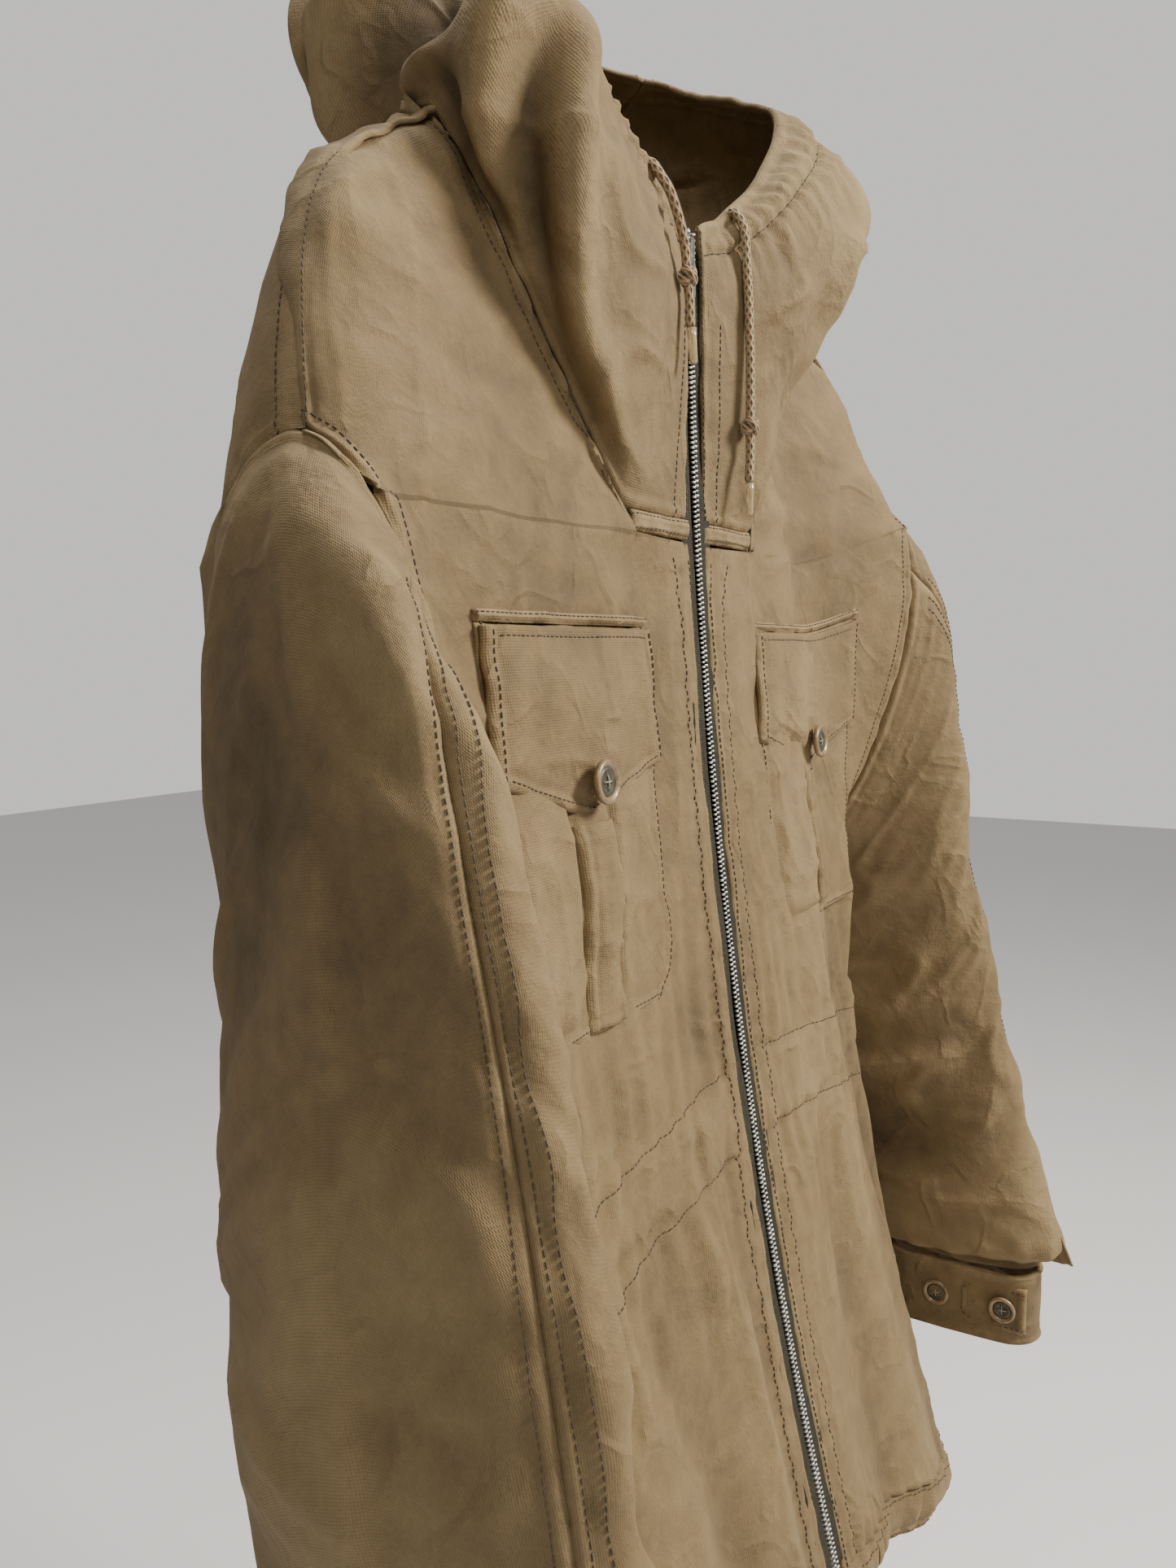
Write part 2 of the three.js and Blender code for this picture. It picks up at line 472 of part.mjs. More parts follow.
// The pull hangs from the slider's face.
const pullShape = new THREE.Shape();
pullShape.moveTo(-2.4, 0);
pullShape.lineTo(2.4, 0);
pullShape.lineTo(2.4, -PULL_LENGTH * 0.35);
pullShape.lineTo(3.6, -PULL_LENGTH * 0.45);
pullShape.lineTo(3.6, -PULL_LENGTH + 3);
pullShape.absarc(0, -PULL_LENGTH + 3, 3.6, 0, -Math.PI, true);
pullShape.lineTo(-3.6, -PULL_LENGTH * 0.45);
pullShape.lineTo(-2.4, -PULL_LENGTH * 0.35);
const PULL_THICK = 1.4;
const pullTop = sliderTop - 3;
const pull = new THREE.ExtrudeGeometry(pullShape, { depth: PULL_THICK, bevelEnabled: false, curveSegments: 8 });
add('zip_pull', pull.rotateX(Math.PI / 2).translate(0, plateFront - GAP, pullTop), 'gunmetal');

// ---------- chest pockets ----------
// Layers over the front, each GAP clear of the one below: pocket, box pleat, flap.
const pocketOuter = GAP + THIN;
const pleatOuter = pocketOuter + GAP + THIN;
const pocketMiddle = POCKET_IN + POCKET_WIDTH / 2;
const flapTop = POCKET_TOP - FLAP_THICK / 2 - 0.1;
const buttonZ = flapTop - BUTTON_DROP;
const pocketPoint = (sign) => (s, t) => {
  const z = mix(POCKET_TOP, POCKET_TOP - POCKET_HEIGHT, t);
  const cut = POCKET_CHAMFER * ease(0.9, 1, t);
  const p = front(mix(POCKET_IN + cut, POCKET_IN + POCKET_WIDTH, s), z);
  return p.setX(p.x * sign);
};
for (const [side, sign] of sides) {
  add(`pocket_${side}`, sheet(pocketPoint(sign), V(0, -1, 0), { columns: 14, rows: 8, outer: pocketOuter, inner: GAP }), 'cloth');
  const pleat = (s, t) => {
    const z = mix(buttonZ - BUTTON_R - 6, POCKET_TOP - POCKET_HEIGHT + 1, t);
    const p = front(pocketMiddle + (s - 0.5) * PLEAT_WIDTH, z);
    return p.setX(p.x * sign);
  };
  add(`pocket_pleat_${side}`, sheet(pleat, V(0, -1, 0), { columns: 2, rows: 5, outer: pleatOuter, inner: pocketOuter + GAP }), 'cloth');
  const welt = (s, t) => front(mix(POCKET_IN - 1, POCKET_IN + POCKET_WIDTH, s), POCKET_TOP + GAP + WELT_HEIGHT * t);
  add(`flap_welt_${side}`, sheet(mirrorX(sign, welt), V(0, -1, 0), { columns: 14, rows: 1, outer: 3.6, inner: GAP }), 'cloth');

  // The flap is a flat five-sided leaf hanging from its top edge, with a hole around the button.
  const outline = new THREE.Shape([[0, 0], [POCKET_WIDTH, 0], [POCKET_WIDTH, -FLAP_SIDE], [POCKET_WIDTH / 2, -FLAP_TIP], [0, -FLAP_SIDE]]
    .map(([x, y]) => new THREE.Vector2(x - POCKET_WIDTH / 2, y)));
  outline.holes.push(ellipse(0, -BUTTON_DROP, BUTTON_R + HOLE_CLEAR, BUTTON_R + HOLE_CLEAR));
  const leaf = new THREE.ExtrudeGeometry(outline, { depth: FLAP_THICK, bevelEnabled: false, curveSegments: 12 });
  const lean = Math.atan((frontY(flapTop) - frontY(flapTop - FLAP_TIP)) / FLAP_TIP);
  const flapBack = frontY(flapTop) - pleatOuter - GAP;
  leaf.rotateX(Math.PI / 2 - lean);
  leaf.translate(sign * pocketMiddle, flapBack, flapTop);
  add(`pocket_flap_${side}`, leaf, 'cloth');
  const stud = button(BUTTON_R, BUTTON_THICK + FLAP_THICK).rotateX(Math.PI - lean);
  add(`pocket_button_${side}`, stud.translate(sign * pocketMiddle, frontY(buttonZ) - pocketOuter - GAP, buttonZ), 'button');
}

// ---------- waist casings, on the inside of the body ----------
const casing = { rows: 2, outer: -CLOTH - 2 * GAP, inner: -CLOTH - 2 * GAP - THIN };
const casingZ = (t) => WAIST_Z + WAIST_HEIGHT * (0.5 - t);
const lastCasing = (FRONT_COLUMNS - 1) / FRONT_COLUMNS;
for (const [side, sign] of sides) {
  const strip = mirrorX(sign, (s, t) => {
    const z = casingZ(t);
    return front(mix(ZIP_SLOT, outerEdge(z, -1).x, spread(s)), z);
  });
  const span = { u: [WAIST_FROM / FRONT_COLUMNS, lastCasing], columns: FRONT_COLUMNS - 1 - WAIST_FROM };
  add(`waist_casing_${side}`, sheet(strip, V(0, -1, 0), { ...span, ...casing }), 'clothDark');
}
const backStrip = (s, t) => {
  const p = back(outerEdge(casingZ(t), 1).x * spread(Math.abs(s)), casingZ(t));
  return p.setX(p.x * Math.sign(s));
};
add('waist_casing_back', sheet(backStrip, V(0, 1, 0), {
  u: [-lastCasing, lastCasing], columns: 2 * FRONT_COLUMNS - 2, ...casing,
}), 'clothDark');

// ---------- neck facing and hanging loop, inside the back of the neck ----------
const FACING_COLUMNS = 5;
const FACING_ROWS = 2;
const facingPoint = (s, t) => {
  const p = backTop(Math.abs(s) * (FACING_COLUMNS / FRONT_COLUMNS), t * (FACING_ROWS / TOP_ROWS));
  return p.setX(p.x * Math.sign(s));
};
add('neck_facing', sheet(facingPoint, V(0, 1, 0), {
  u: [-1, 1], columns: 2 * FACING_COLUMNS, rows: FACING_ROWS, outer: -CLOTH - GAP, inner: -CLOTH - GAP - THIN,
}), 'clothDark');
const loopAt = upperBack(0, 0.28);
const loopFoot = loopAt.y - CLOTH - 2 * GAP - THIN - 1.2;
const loopOutline = new THREE.Shape([[-0.5, 0], [-0.42, -1], [0.42, -1], [0.5, 0]].map(([x, y]) => (
  new THREE.Vector2(x * LOOP_LENGTH, y * LOOP_STAND))).concat([[0.46, 0], [0.4, -1], [-0.4, -1], [-0.46, 0]].map(([x, y]) => (
  new THREE.Vector2(x * LOOP_LENGTH, y * (LOOP_STAND - THIN))))));
const loop = new THREE.ExtrudeGeometry(loopOutline, { depth: LOOP_WIDTH, bevelEnabled: false });
add('hanging_loop', loop.translate(0, loopFoot, loopAt.z - LOOP_WIDTH), 'tape');

// ---------- cuff tabs, buttons and sleeve vents ----------
const cuffMiddle = CUFF_TOP - CUFF_HEIGHT / 2;
const tabY = CUFF_Y - 3;                       // sewn end of the tab
const spareY = CUFF_Y + 14;
const tabButtonY = tabY - TAB_BUTTON_AT;
const cuffFace = CUFF_X - CUFF_HALF_X;        // the flat inner face
const acrossX = new THREE.Matrix4().makeBasis(V(0, 1, 0), V(0, 0, 1), V(1, 0, 0));
for (const [side, sign] of sides) {
  const outline = new THREE.Shape([[0, 0.5], [0.78, 0.5], [1, 0], [0.78, -0.5], [0, -0.5]].map(([l, h]) => (
    new THREE.Vector2(tabY - l * TAB_LENGTH, cuffMiddle + h * TAB_HEIGHT))));
  const hole = CUFF_BUTTON_R + HOLE_CLEAR;
  outline.holes.push(ellipse(tabButtonY, cuffMiddle, hole, hole));
  const tab = new THREE.ExtrudeGeometry(outline, { depth: THIN, bevelEnabled: false, curveSegments: 12 });
  const tabX = sign > 0 ? cuffFace - GAP - THIN : GAP - cuffFace;
  add(`cuff_tab_${side}`, tab.applyMatrix4(acrossX).translate(tabX, 0, 0), 'cloth');
  const buttonAt = (y, thick) => button(CUFF_BUTTON_R, thick).rotateZ(sign * Math.PI / 2)
    .translate(sign * (cuffFace - GAP), y, cuffMiddle);
  add(`cuff_button_${side}`, buttonAt(spareY, BUTTON_THICK), 'button');
  add(`tab_button_${side}`, buttonAt(tabButtonY, BUTTON_THICK + THIN), 'button');
}
for (const [side, sign] of sides) {
  const x = sign * (guides.front.getPoint(0.8).x - 1);
  const wing = new THREE.Shape([[-187, -562], [-227, -655], [-212, -652]].map(([y, z]) => new THREE.Vector2(y, z)));
  const vent = new THREE.ExtrudeGeometry(wing, { depth: 2 * THIN, bevelEnabled: false });
  vent.applyMatrix4(acrossX);
  add(`sleeve_vent_${side}`, vent.translate(x, 0, 0), 'cloth');
}

// ---------- drawcords: out of the rim channel, over the front, to a knot and an aglet ----------
const cordRoutes = {
  left: [V(40, -65.1, 18), V(38.5, -68.9, 16), V(37.5, -72.6, 10), V(37, -73.4, 2), V(37, -74, -12), V(37.2, -74, -28),
    V(37.5, -74, -44), V(38, -73.5, -60), V(38.5, -73, -76), V(38.5, -73, -92)],
  right: [V(-38, -57.5, 18.5), V(-38.5, -62, 16), V(-38, -66, 10), V(-36, -69.5, 3), V(-33, -72.5, -6),
    V(-29.5, -74.5, -15), V(-26.5, -75.5, -23), V(-26, -76, -31)],
};
const cordTails = { left: 26, right: 20 };
for (const [side] of sides) {
  const section = new THREE.Shape(Array.from({ length: 8 }, (_, i) => {
    const angle = (i / 8) * 2 * Math.PI;
    return new THREE.Vector2(CORD_R * Math.cos(angle), CORD_R * Math.sin(angle));
  }));
  const end = cordRoutes[side].at(-1);
  const before = cordRoutes[side].at(-2);
  const down = end.clone().sub(before).normalize();
  const tail = end.clone().addScaledVector(down, KNOT_LENGTH + cordTails[side]);
  const whole = spline([...cordRoutes[side], tail]);
  const tube = new THREE.ExtrudeGeometry(section, { steps: Math.round(whole.getLength() / (CORD_R * 5)), extrudePath: whole, bevelEnabled: false });
  add(`drawcord_${side}`, tube, 'cord');
  const hang = (geometry, at) => geometry.applyQuaternion(new THREE.Quaternion().setFromUnitVectors(V(0, -1, 0), down))
    .translate(at.x, at.y, at.z);
  const hollow = CORD_R + 0.6;
  const knot = turned([[hollow, -KNOT_LENGTH], [KNOT_R * 0.8, 0.8 - KNOT_LENGTH], [KNOT_R, -KNOT_LENGTH / 2],
    [KNOT_R * 0.8, -0.8], [hollow, 0], [hollow, -KNOT_LENGTH]], 12);
  add(`cord_knot_${side}`, hang(knot, end.clone().addScaledVector(down, 1)), 'cord');
  const aglet = turned([[0, -AGLET_LENGTH], [AGLET_R, -AGLET_LENGTH], [AGLET_R, 0], [0, 0]], 10);
  add(`cord_aglet_${side}`, hang(aglet, tail.clone().addScaledVector(down, GAP)), 'aglet');
}

export default group;
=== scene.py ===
# %% [markdown]
# A hooded cotton field parka as it hangs, zip closed. The CAD frame holds the sizes and the joints. This
# lesson lays cloth over the same surfaces, far finer, and gives it folds, gathers, stitches and finishes.
# All lengths are metres, +Z is up and the front faces -Y. The wearer's left is at +X.

# %% Load the frame
import json
import math
import bpy
import bmesh
import numpy as np
from mathutils import Matrix, Vector


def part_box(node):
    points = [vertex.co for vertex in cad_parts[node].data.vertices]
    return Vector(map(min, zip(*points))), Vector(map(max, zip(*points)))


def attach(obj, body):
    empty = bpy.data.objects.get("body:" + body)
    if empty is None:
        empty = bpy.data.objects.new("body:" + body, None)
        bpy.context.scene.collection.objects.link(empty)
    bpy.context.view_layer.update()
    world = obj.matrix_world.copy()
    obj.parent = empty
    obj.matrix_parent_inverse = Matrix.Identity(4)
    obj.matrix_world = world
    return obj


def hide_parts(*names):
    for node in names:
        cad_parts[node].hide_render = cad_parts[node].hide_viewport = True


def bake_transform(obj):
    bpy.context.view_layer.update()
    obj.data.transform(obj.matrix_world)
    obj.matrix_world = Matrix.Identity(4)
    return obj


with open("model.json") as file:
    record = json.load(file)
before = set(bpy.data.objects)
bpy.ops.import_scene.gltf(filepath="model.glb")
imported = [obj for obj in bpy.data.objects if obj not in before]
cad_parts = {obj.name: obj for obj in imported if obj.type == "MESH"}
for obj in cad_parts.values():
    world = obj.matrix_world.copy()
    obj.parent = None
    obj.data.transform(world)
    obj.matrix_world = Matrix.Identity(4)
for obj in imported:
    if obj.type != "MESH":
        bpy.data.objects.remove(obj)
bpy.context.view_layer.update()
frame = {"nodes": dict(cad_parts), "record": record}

joints = {j["name"]: j for j in frame["record"]["behaviour"]["joints"]}

# %% [markdown]
# The camera stands to the wearer's right and a little low, close to the coat, and looks past the
# zip, so near things are large. A wide lens that is turned, not shifted, gives that look.

# %% Camera
CAMERA_AT = Vector((-0.576, -0.340, -0.220))
CAMERA_YAW, CAMERA_PITCH, CAMERA_ROLL = math.radians(59.16), math.radians(-6.23), math.radians(-0.44)
camera_data = bpy.data.cameras.new("camera")
camera_data.sensor_width, camera_data.lens = 36.0, 27.1
camera_data.clip_start = 0.01
camera = bpy.data.objects.new("camera", camera_data)
bpy.context.collection.objects.link(camera)
forward = Vector((math.sin(CAMERA_YAW) * math.cos(CAMERA_PITCH),
                  math.cos(CAMERA_YAW) * math.cos(CAMERA_PITCH), math.sin(CAMERA_PITCH)))
camera.matrix_world = (Matrix.Translation(CAMERA_AT) @ forward.to_track_quat("-Z", "Y").to_matrix().to_4x4()
                       @ Matrix.Rotation(CAMERA_ROLL, 4, "Z"))
bpy.context.scene.camera = camera
print("camera looks along", [round(v, 3) for v in forward])

# %% [markdown]
# Every piece of cloth is a grid of points, so three small tools come first: a smooth curve through
# a few points, a step that eases in and out, and a noise that gives each fold its own wobble.

# %% Curves and noise
SIDES = ((-1, "right"), (1, "left"))


def catmull(points):
    """A smooth curve through points, read by t from 0 to 1."""
    P = np.array(points, float)
    last = len(P) - 1
    E = np.vstack([2 * P[0] - P[1], P, 2 * P[-1] - P[-2]])

    def read(t):
        p = np.clip(t, 0, 1) * last
        i = np.minimum(p.astype(int), last - 1)
        w = (p - i)[..., None]
        a, b, c, d = E[i], E[i + 1], E[i + 2], E[i + 3]
        return b + 0.5 * w * (c - a + w * (2 * a - 5 * b + 4 * c - d + w * (3 * (b - c) + d - a)))
    return read


def ease(lo, hi, t):
    k = np.clip((np.asarray(t, float) - lo) / (hi - lo), 0, 1)
    return k * k * (3 - 2 * k)


def mix(a, b, t):
    return a + (b - a) * t


def bell(t, middle, width):
    """A smooth hump of height 1 over t = middle."""
    return np.exp(-(((t - middle) / width) ** 2))


def stack(x, y, z):
    return np.stack(np.broadcast_arrays(x, y, z), -1).astype(float)


TABLE = np.random.default_rng(7).random(4096) * 2 - 1


def noise(P, scale, seed=0):
    """Smooth noise from -1 to 1 at points P, whose features are about `scale` metres apart."""
    Q = np.asarray(P) / scale + seed * 17.3
    base = np.floor(Q).astype(int)
    f = Q - base
    w = f * f * f * (f * (f * 6 - 15) + 10)
    total = 0
    for corner in np.ndindex(*(2,) * Q.shape[-1]):
        k = base + np.array(corner)
        index = np.zeros(k.shape[:-1], int)
        for axis, prime in zip(range(Q.shape[-1]), (73, 1399, 2731)):
            index = index + k[..., axis] * prime
        index = (index * 2654435761 >> 7) % 4096
        weight = np.prod(np.where(np.array(corner) == 1, w, 1 - w), -1)
        total = total + TABLE[index] * weight
    return total * 1.4


def crumple(P, scale, seed=0, sharp=1.6):
    """Creases: thin raised lines between flatter fields, as in cotton that was folded away."""
    warp = np.stack([noise(P, scale * 1.7, seed + k) for k in range(P.shape[-1])], -1) * scale * 0.6
    line = 1 - np.abs(noise(P + warp, scale, seed + 5))
    return np.clip(line, 0, 1) ** (4 * sharp)


print("noise spans", noise(np.random.default_rng(1).random((2000, 3)), 0.1).min().round(2))

# %% [markdown]
# The coat's surfaces are worked out as its pattern is: the front hangs in one long arc from the
# zip, the back hangs flat, both roll round to the side seam, and the armhole is an ellipse. The
# driving sizes below are the CAD's own, so each sheet lies where its CAD piece does.

# %% The body's surfaces
CLOTH = 0.0025
ZIP_DEPTH, ZIP_RADIUS, ZIP_SLOT = 0.060, abs(joints["zip_travel"]["pos_m"][1]) - 0.060, 0.0095
ZIP_LENGTH = -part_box("zip_bottom_box")[0][2]
NECK_HALF, NECK_RISE = 0.145, 0.016
BACK_DEPTH = 0.055
YOKE_Z, BAND_HEIGHT, BAND_HALF, V_BOW = -0.161, 0.011, 0.070, 0.012
HEM_Z, HEM_DROP, HEM_HEIGHT = -0.724, 0.048, 0.030
WAIST_Z, WAIST_HEIGHT = -0.462, 0.042
ARM_X, ARM_TOP = 0.256, -0.138
ARM_BOTTOM_X, ARM_BOTTOM = 0.228, -0.360
ARM_Y, ARM_HALF_DEPTH = -0.025, 0.058
BACK_HEM_Z = HEM_Z - HEM_DROP


def front_y(z):
    return np.sqrt(ZIP_RADIUS ** 2 - z ** 2) - ZIP_RADIUS - ZIP_DEPTH


def hem_z(x):
    return HEM_Z - HEM_DROP * np.minimum(1, (x / 0.2) ** 2)


def side_x(z):
    waist = bell(z, WAIST_Z, 0.07)
    return ARM_BOTTOM_X + 0.026 * ease(ARM_BOTTOM, BACK_HEM_Z, z) - 0.003 * waist


def side_y(z):
    return ARM_Y + (z - ARM_BOTTOM) * 0.08


def armhole(z, side):
    middle = (ARM_TOP + ARM_BOTTOM) / 2
    c = np.clip((z - middle) / (ARM_TOP - middle), -1, 1)
    return stack(mix(ARM_BOTTOM_X, ARM_X, (1 + c) / 2), ARM_Y + side * ARM_HALF_DEPTH * np.sqrt(1 - c * c), z)


def outer_edge(z, side):
    below = stack(side_x(z), side_y(z), z)
    return np.where((z > ARM_BOTTOM)[..., None], armhole(z, side), below)


def body_y(x, z, side):
    x, z = np.broadcast_arrays(np.asarray(x, float), np.asarray(z, float))
    edge = outer_edge(z, side)
    flat = front_y(z) if side < 0 else BACK_DEPTH - 0.003 * bell(z, WAIST_Z, 0.08)
    share = np.minimum(1, x / edge[..., 0])
    turn = np.maximum(0, (share - 0.72) / 0.28)
    rolled = mix(side_y(z), flat, np.maximum(0, 1 - turn ** 2.2) ** (1 / 2.2))
    roll = ease(ARM_BOTTOM - 0.015, ARM_BOTTOM - 0.090, z)
    edge_y = mix(flat, side_y(z), roll)
    return mix(flat, rolled, roll) + (edge[..., 1] - edge_y) * ease(0.9, 1, share)


def front(x, z):
    return stack(x, body_y(x, z, -1), z)


def back(x, z):
    return stack(x, body_y(np.abs(x), z, 1), z)


shoulder = catmull([(NECK_HALF, 0, NECK_RISE), (0.185, -0.002, -0.006), (0.220, -0.006, -0.032),
                    (0.243, -0.014, -0.074), (ARM_X, ARM_Y, ARM_TOP)])


def upper_front(s, t):
    s, t = np.broadcast_arrays(np.asarray(s, float), np.asarray(t, float))
    top = shoulder(s)
    edge = armhole(mix(ARM_TOP, YOKE_Z, t), -1)
    foot_x = mix(BAND_HALF, armhole(np.array(YOKE_Z), -1)[0], s)
    foot = front(foot_x, np.full(s.shape, YOKE_Z))
    x = mix(top[..., 0], foot[..., 0], t) + V_BOW * np.sin(np.pi * t) * (1 - s)
    point = stack(x, mix(top[..., 1], foot[..., 1], t ** 0.6), mix(top[..., 2], YOKE_Z, t))
    return mix(point, edge, ease(0.75, 1, s)[..., None])


def neckline(x):
    inside = np.maximum(0, 1 - (x / NECK_HALF) ** 2)
    return stack(x, 0.031 * inside ** 0.6, mix(0.006, NECK_RISE, (x / NECK_HALF) ** 2))


def upper_back(s, t):
    s, t = np.broadcast_arrays(np.asarray(s, float), np.asarray(t, float))
    top = np.where((s < 0.5)[..., None], neckline(np.minimum(NECK_HALF, NECK_HALF * s / 0.5)),
                   shoulder((s - 0.5) / 0.5))
    edge = armhole(mix(ARM_TOP, YOKE_Z, t), 1)
    foot = back(armhole(np.array(YOKE_Z), 1)[0] * s, np.full(s.shape, YOKE_Z))
    point = stack(mix(top[..., 0], foot[..., 0], t), mix(top[..., 1], foot[..., 1], t ** 0.6),
                  mix(top[..., 2], YOKE_Z, t))
    return mix(point, edge, ease(0.75, 1, s)[..., None])


def spread(s):
    return 1 - (1 - s) ** 1.5


print("zip", round(ZIP_LENGTH, 3), "arc radius", round(ZIP_RADIUS, 3))

# %% [markdown]
# The hood is one net of points, from the wearer's left zip edge round the back to the right one,
# and from the seam up to the rim. It stands up on the left, has slumped on the right, and its
# crown hangs behind, as a soft hood does round the neck of a hanger.

# %% The hood's net
HOOD_NET = np.array([
    [(12, -60, -148), (12, -60, -118), (12, -60, -85), (12, -60, -50), (12, -60, -22), (12, -60, 0)],
    [(72, -60, -148), (67, -68, -110), (61, -76, -72), (54, -80, -36), (46, -76, -5), (38, -62, 19)],
    [(122, -46, -67), (122, -66, -46), (120, -84, -24), (112, -94, 4), (95, -88, 34), (76, -65, 50)],
    [(145, 0, 16), (166, -26, 26), (174, -60, 36), (164, -84, 52), (142, -78, 80), (119, -57, 101)],
    [(110, 15, 12), (162, 40, 26), (186, 42, 60), (180, 26, 98), (158, 10, 128), (128, -2, 129)],
    [(55, 26, 8), (86, 75, 4), (98, 122, 24), (100, 142, 78), (98, 118, 134), (92, 74, 156)],
    [(0, 31, 6), (0, 84, -12), (0, 142, 6), (0, 168, 72), (2, 148, 132), (12, 104, 158)],
    [(-55, 26, 8), (-86, 72, 4), (-98, 114, 24), (-102, 128, 72), (-88, 106, 120), (-58, 72, 136)],
    [(-110, 15, 12), (-140, 44, 28), (-144, 56, 62), (-130, 52, 98), (-104, 34, 110), (-77, 15, 99)],
    [(-145, 0, 16), (-160, -14, 34), (-153, -32, 56), (-128, -38, 72), (-94, -30, 76), (-65, -20, 75)],
    [(-122, -46, -67), (-128, -60, -42), (-128, -68, -12), (-108, -66, 24), (-78, -54, 46), (-50, -38, 52)],
    [(-72, -60, -148), (-72, -68, -110), (-70, -75, -72), (-62, -77, -36), (-47, -64, 2), (-33, -50, 25)],
    [(-12, -60, -148), (-12, -60, -118), (-12, -60, -85), (-12, -60, -50), (-12, -60, -22), (-12, -60, 0)],
], float) / 1000
LAST_COLUMN = len(HOOD_NET) - 1
V_FOOT = 1 - BAND_HEIGHT / (NECK_RISE - YOKE_Z)
CROWN_FROM, RIM_FROM = 11 / 30, 0.86


def hood_seam(a):
    k = np.abs(a - 0.5) * LAST_COLUMN
    sign = np.where(a < 0.5, 1.0, -1.0)
    neck = neckline(np.minimum(NECK_HALF, NECK_HALF * k / 3)) + (0, 0, 0.0015)
    band = front(mix(BAND_HALF, ZIP_SLOT, np.clip(k - 5, 0, 1)), np.full(a.shape, YOKE_Z + BAND_HEIGHT))
    v_seam = upper_front(0, mix(0.01, V_FOOT, np.clip((k - 3) / 2, 0, 1)))
    v_seam = v_seam - stack(0.0005, 0, 0) + stack(0, 0, 0.0015 * ease(3.6, 3, k))
    point = np.where((k <= 3)[..., None], neck, np.where((k > 5)[..., None], band, v_seam))
    return point * stack(sign, 1, 1)


def hood(a, b):
    """The hood's surface for a row of a and a column of b."""
    a, b = np.asarray(a, float), np.asarray(b, float)
    lines = np.stack([catmull(HOOD_NET[:, j])(a) for j in range(HOOD_NET.shape[1])], 0)
    P = np.stack([catmull(lines[:, i])(b) for i in range(len(a))], 1)
    P = P + (hood_seam(a) - lines[0])[None] * ((1 - b) ** 3)[:, None, None]
    edge = np.minimum(a, 1 - a) * LAST_COLUMN
    P[..., 0] = mix(np.sign(0.5 - a) * ZIP_SLOT, P[..., 0], ease(0, 0.7, edge))
    rise = ease(0.0, 0.35, b)[:, None]
    P[..., 0] -= 0.022 * ease(0.12, 0.19, P[..., 0]) * rise
    P[..., 1] -= 0.040 * ease(0.03, 0.11, P[..., 1]) * ease(0.02, -0.07, P[..., 0]) * rise
    return P


print("hood rim at the back", hood(np.array([0.5]), np.array([1.0]))[0, 0].round(3))

# %% The sleeves' surfaces
ARM_MIDDLE, ARM_MIDDLE_X = (ARM_TOP + ARM_BOTTOM) / 2, (ARM_X + ARM_BOTTOM_X) / 2
cuff_low, cuff_high = (Vector(v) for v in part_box("cuff_left"))
CUFF_X, CUFF_Y = (cuff_low.x + cuff_high.x) / 2, (cuff_low.y + cuff_high.y) / 2
CUFF_HALF_X, CUFF_HALF_Y = (cuff_high.x - cuff_low.x) / 2, (cuff_high.y - cuff_low.y) / 2
CUFF_TOP, CUFF_FOOT = cuff_high.z, cuff_low.z
SLEEVE_SEAM = 1.0
OUTER = catmull([(ARM_X, ARM_Y, ARM_TOP), (0.283, -0.042, -0.182), (0.297, -0.062, -0.262),
                 (0.302, -0.080, -0.360), (0.304, -0.096, -0.480), (0.304, -0.112, -0.580),
                 (0.306, -0.134, -0.636),
                 (CUFF_X + CUFF_HALF_X, CUFF_Y, CUFF_TOP)])
INNER = catmull([(ARM_BOTTOM_X, ARM_Y, ARM_BOTTOM), (0.238, -0.038, -0.390), (0.241, -0.056, -0.428),
                 (0.243, -0.078, -0.486), (0.246, -0.098, -0.546), (0.250, -0.115, -0.604),
                 (0.256, -0.138, -0.640), (CUFF_X - CUFF_HALF_X, CUFF_Y, CUFF_TOP)])
FRONT_EDGE = catmull([(ARM_MIDDLE_X, ARM_Y - ARM_HALF_DEPTH, ARM_MIDDLE), (0.260, -0.110, -0.274),
                      (0.270, -0.134, -0.334), (0.274, -0.154, -0.404), (0.277, -0.172, -0.484),
                      (0.279, -0.186, -0.562), (0.281, -0.204, -0.634),
                      (CUFF_X, CUFF_Y - CUFF_HALF_Y, CUFF_TOP)])
BACK_EDGE = catmull([(ARM_MIDDLE_X, ARM_Y + ARM_HALF_DEPTH, ARM_MIDDLE), (0.262, 0.016, -0.292),
                     (0.270, 0.003, -0.352), (0.273, -0.003, -0.422), (0.275, -0.008, -0.502),
                     (0.277, -0.022, -0.572), (0.280, -0.066, -0.636),
                     (CUFF_X, CUFF_Y + CUFF_HALF_Y, CUFF_TOP)])


def sleeve(angle, t):
    """Angle 0 is the outer face, a quarter turn the front edge, half a turn the underarm."""
    o, f, i, b = (line(t)[:, None, :] for line in (OUTER, FRONT_EDGE, INNER, BACK_EDGE))
    c, s = np.cos(angle)[None, :, None], np.sin(angle)[None, :, None]
    P = (o + i) / 2 * c * c + (f + b) / 2 * s * s + (o - i) / 2 * c + (f - b) / 2 * s
    return P + stack(0.0006, 0, 0)


print("cuff", [round(v, 3) for v in cuff_low], [round(v, 3) for v in cuff_high])

# %% [markdown]
# A cloth panel is two such grids, the face and the lining side, joined round the edge. Before it is
# closed, a relief field pushes its points along the normals: folds, gathers, puckers and the groove
# at each seam. The same field is stored as attributes, so that raised cloth can be painted lighter
# and its folds painted darker: painted light and painted shade.

# %% The cloth tool
stitch_lines = {}
FOLDED = 1.02


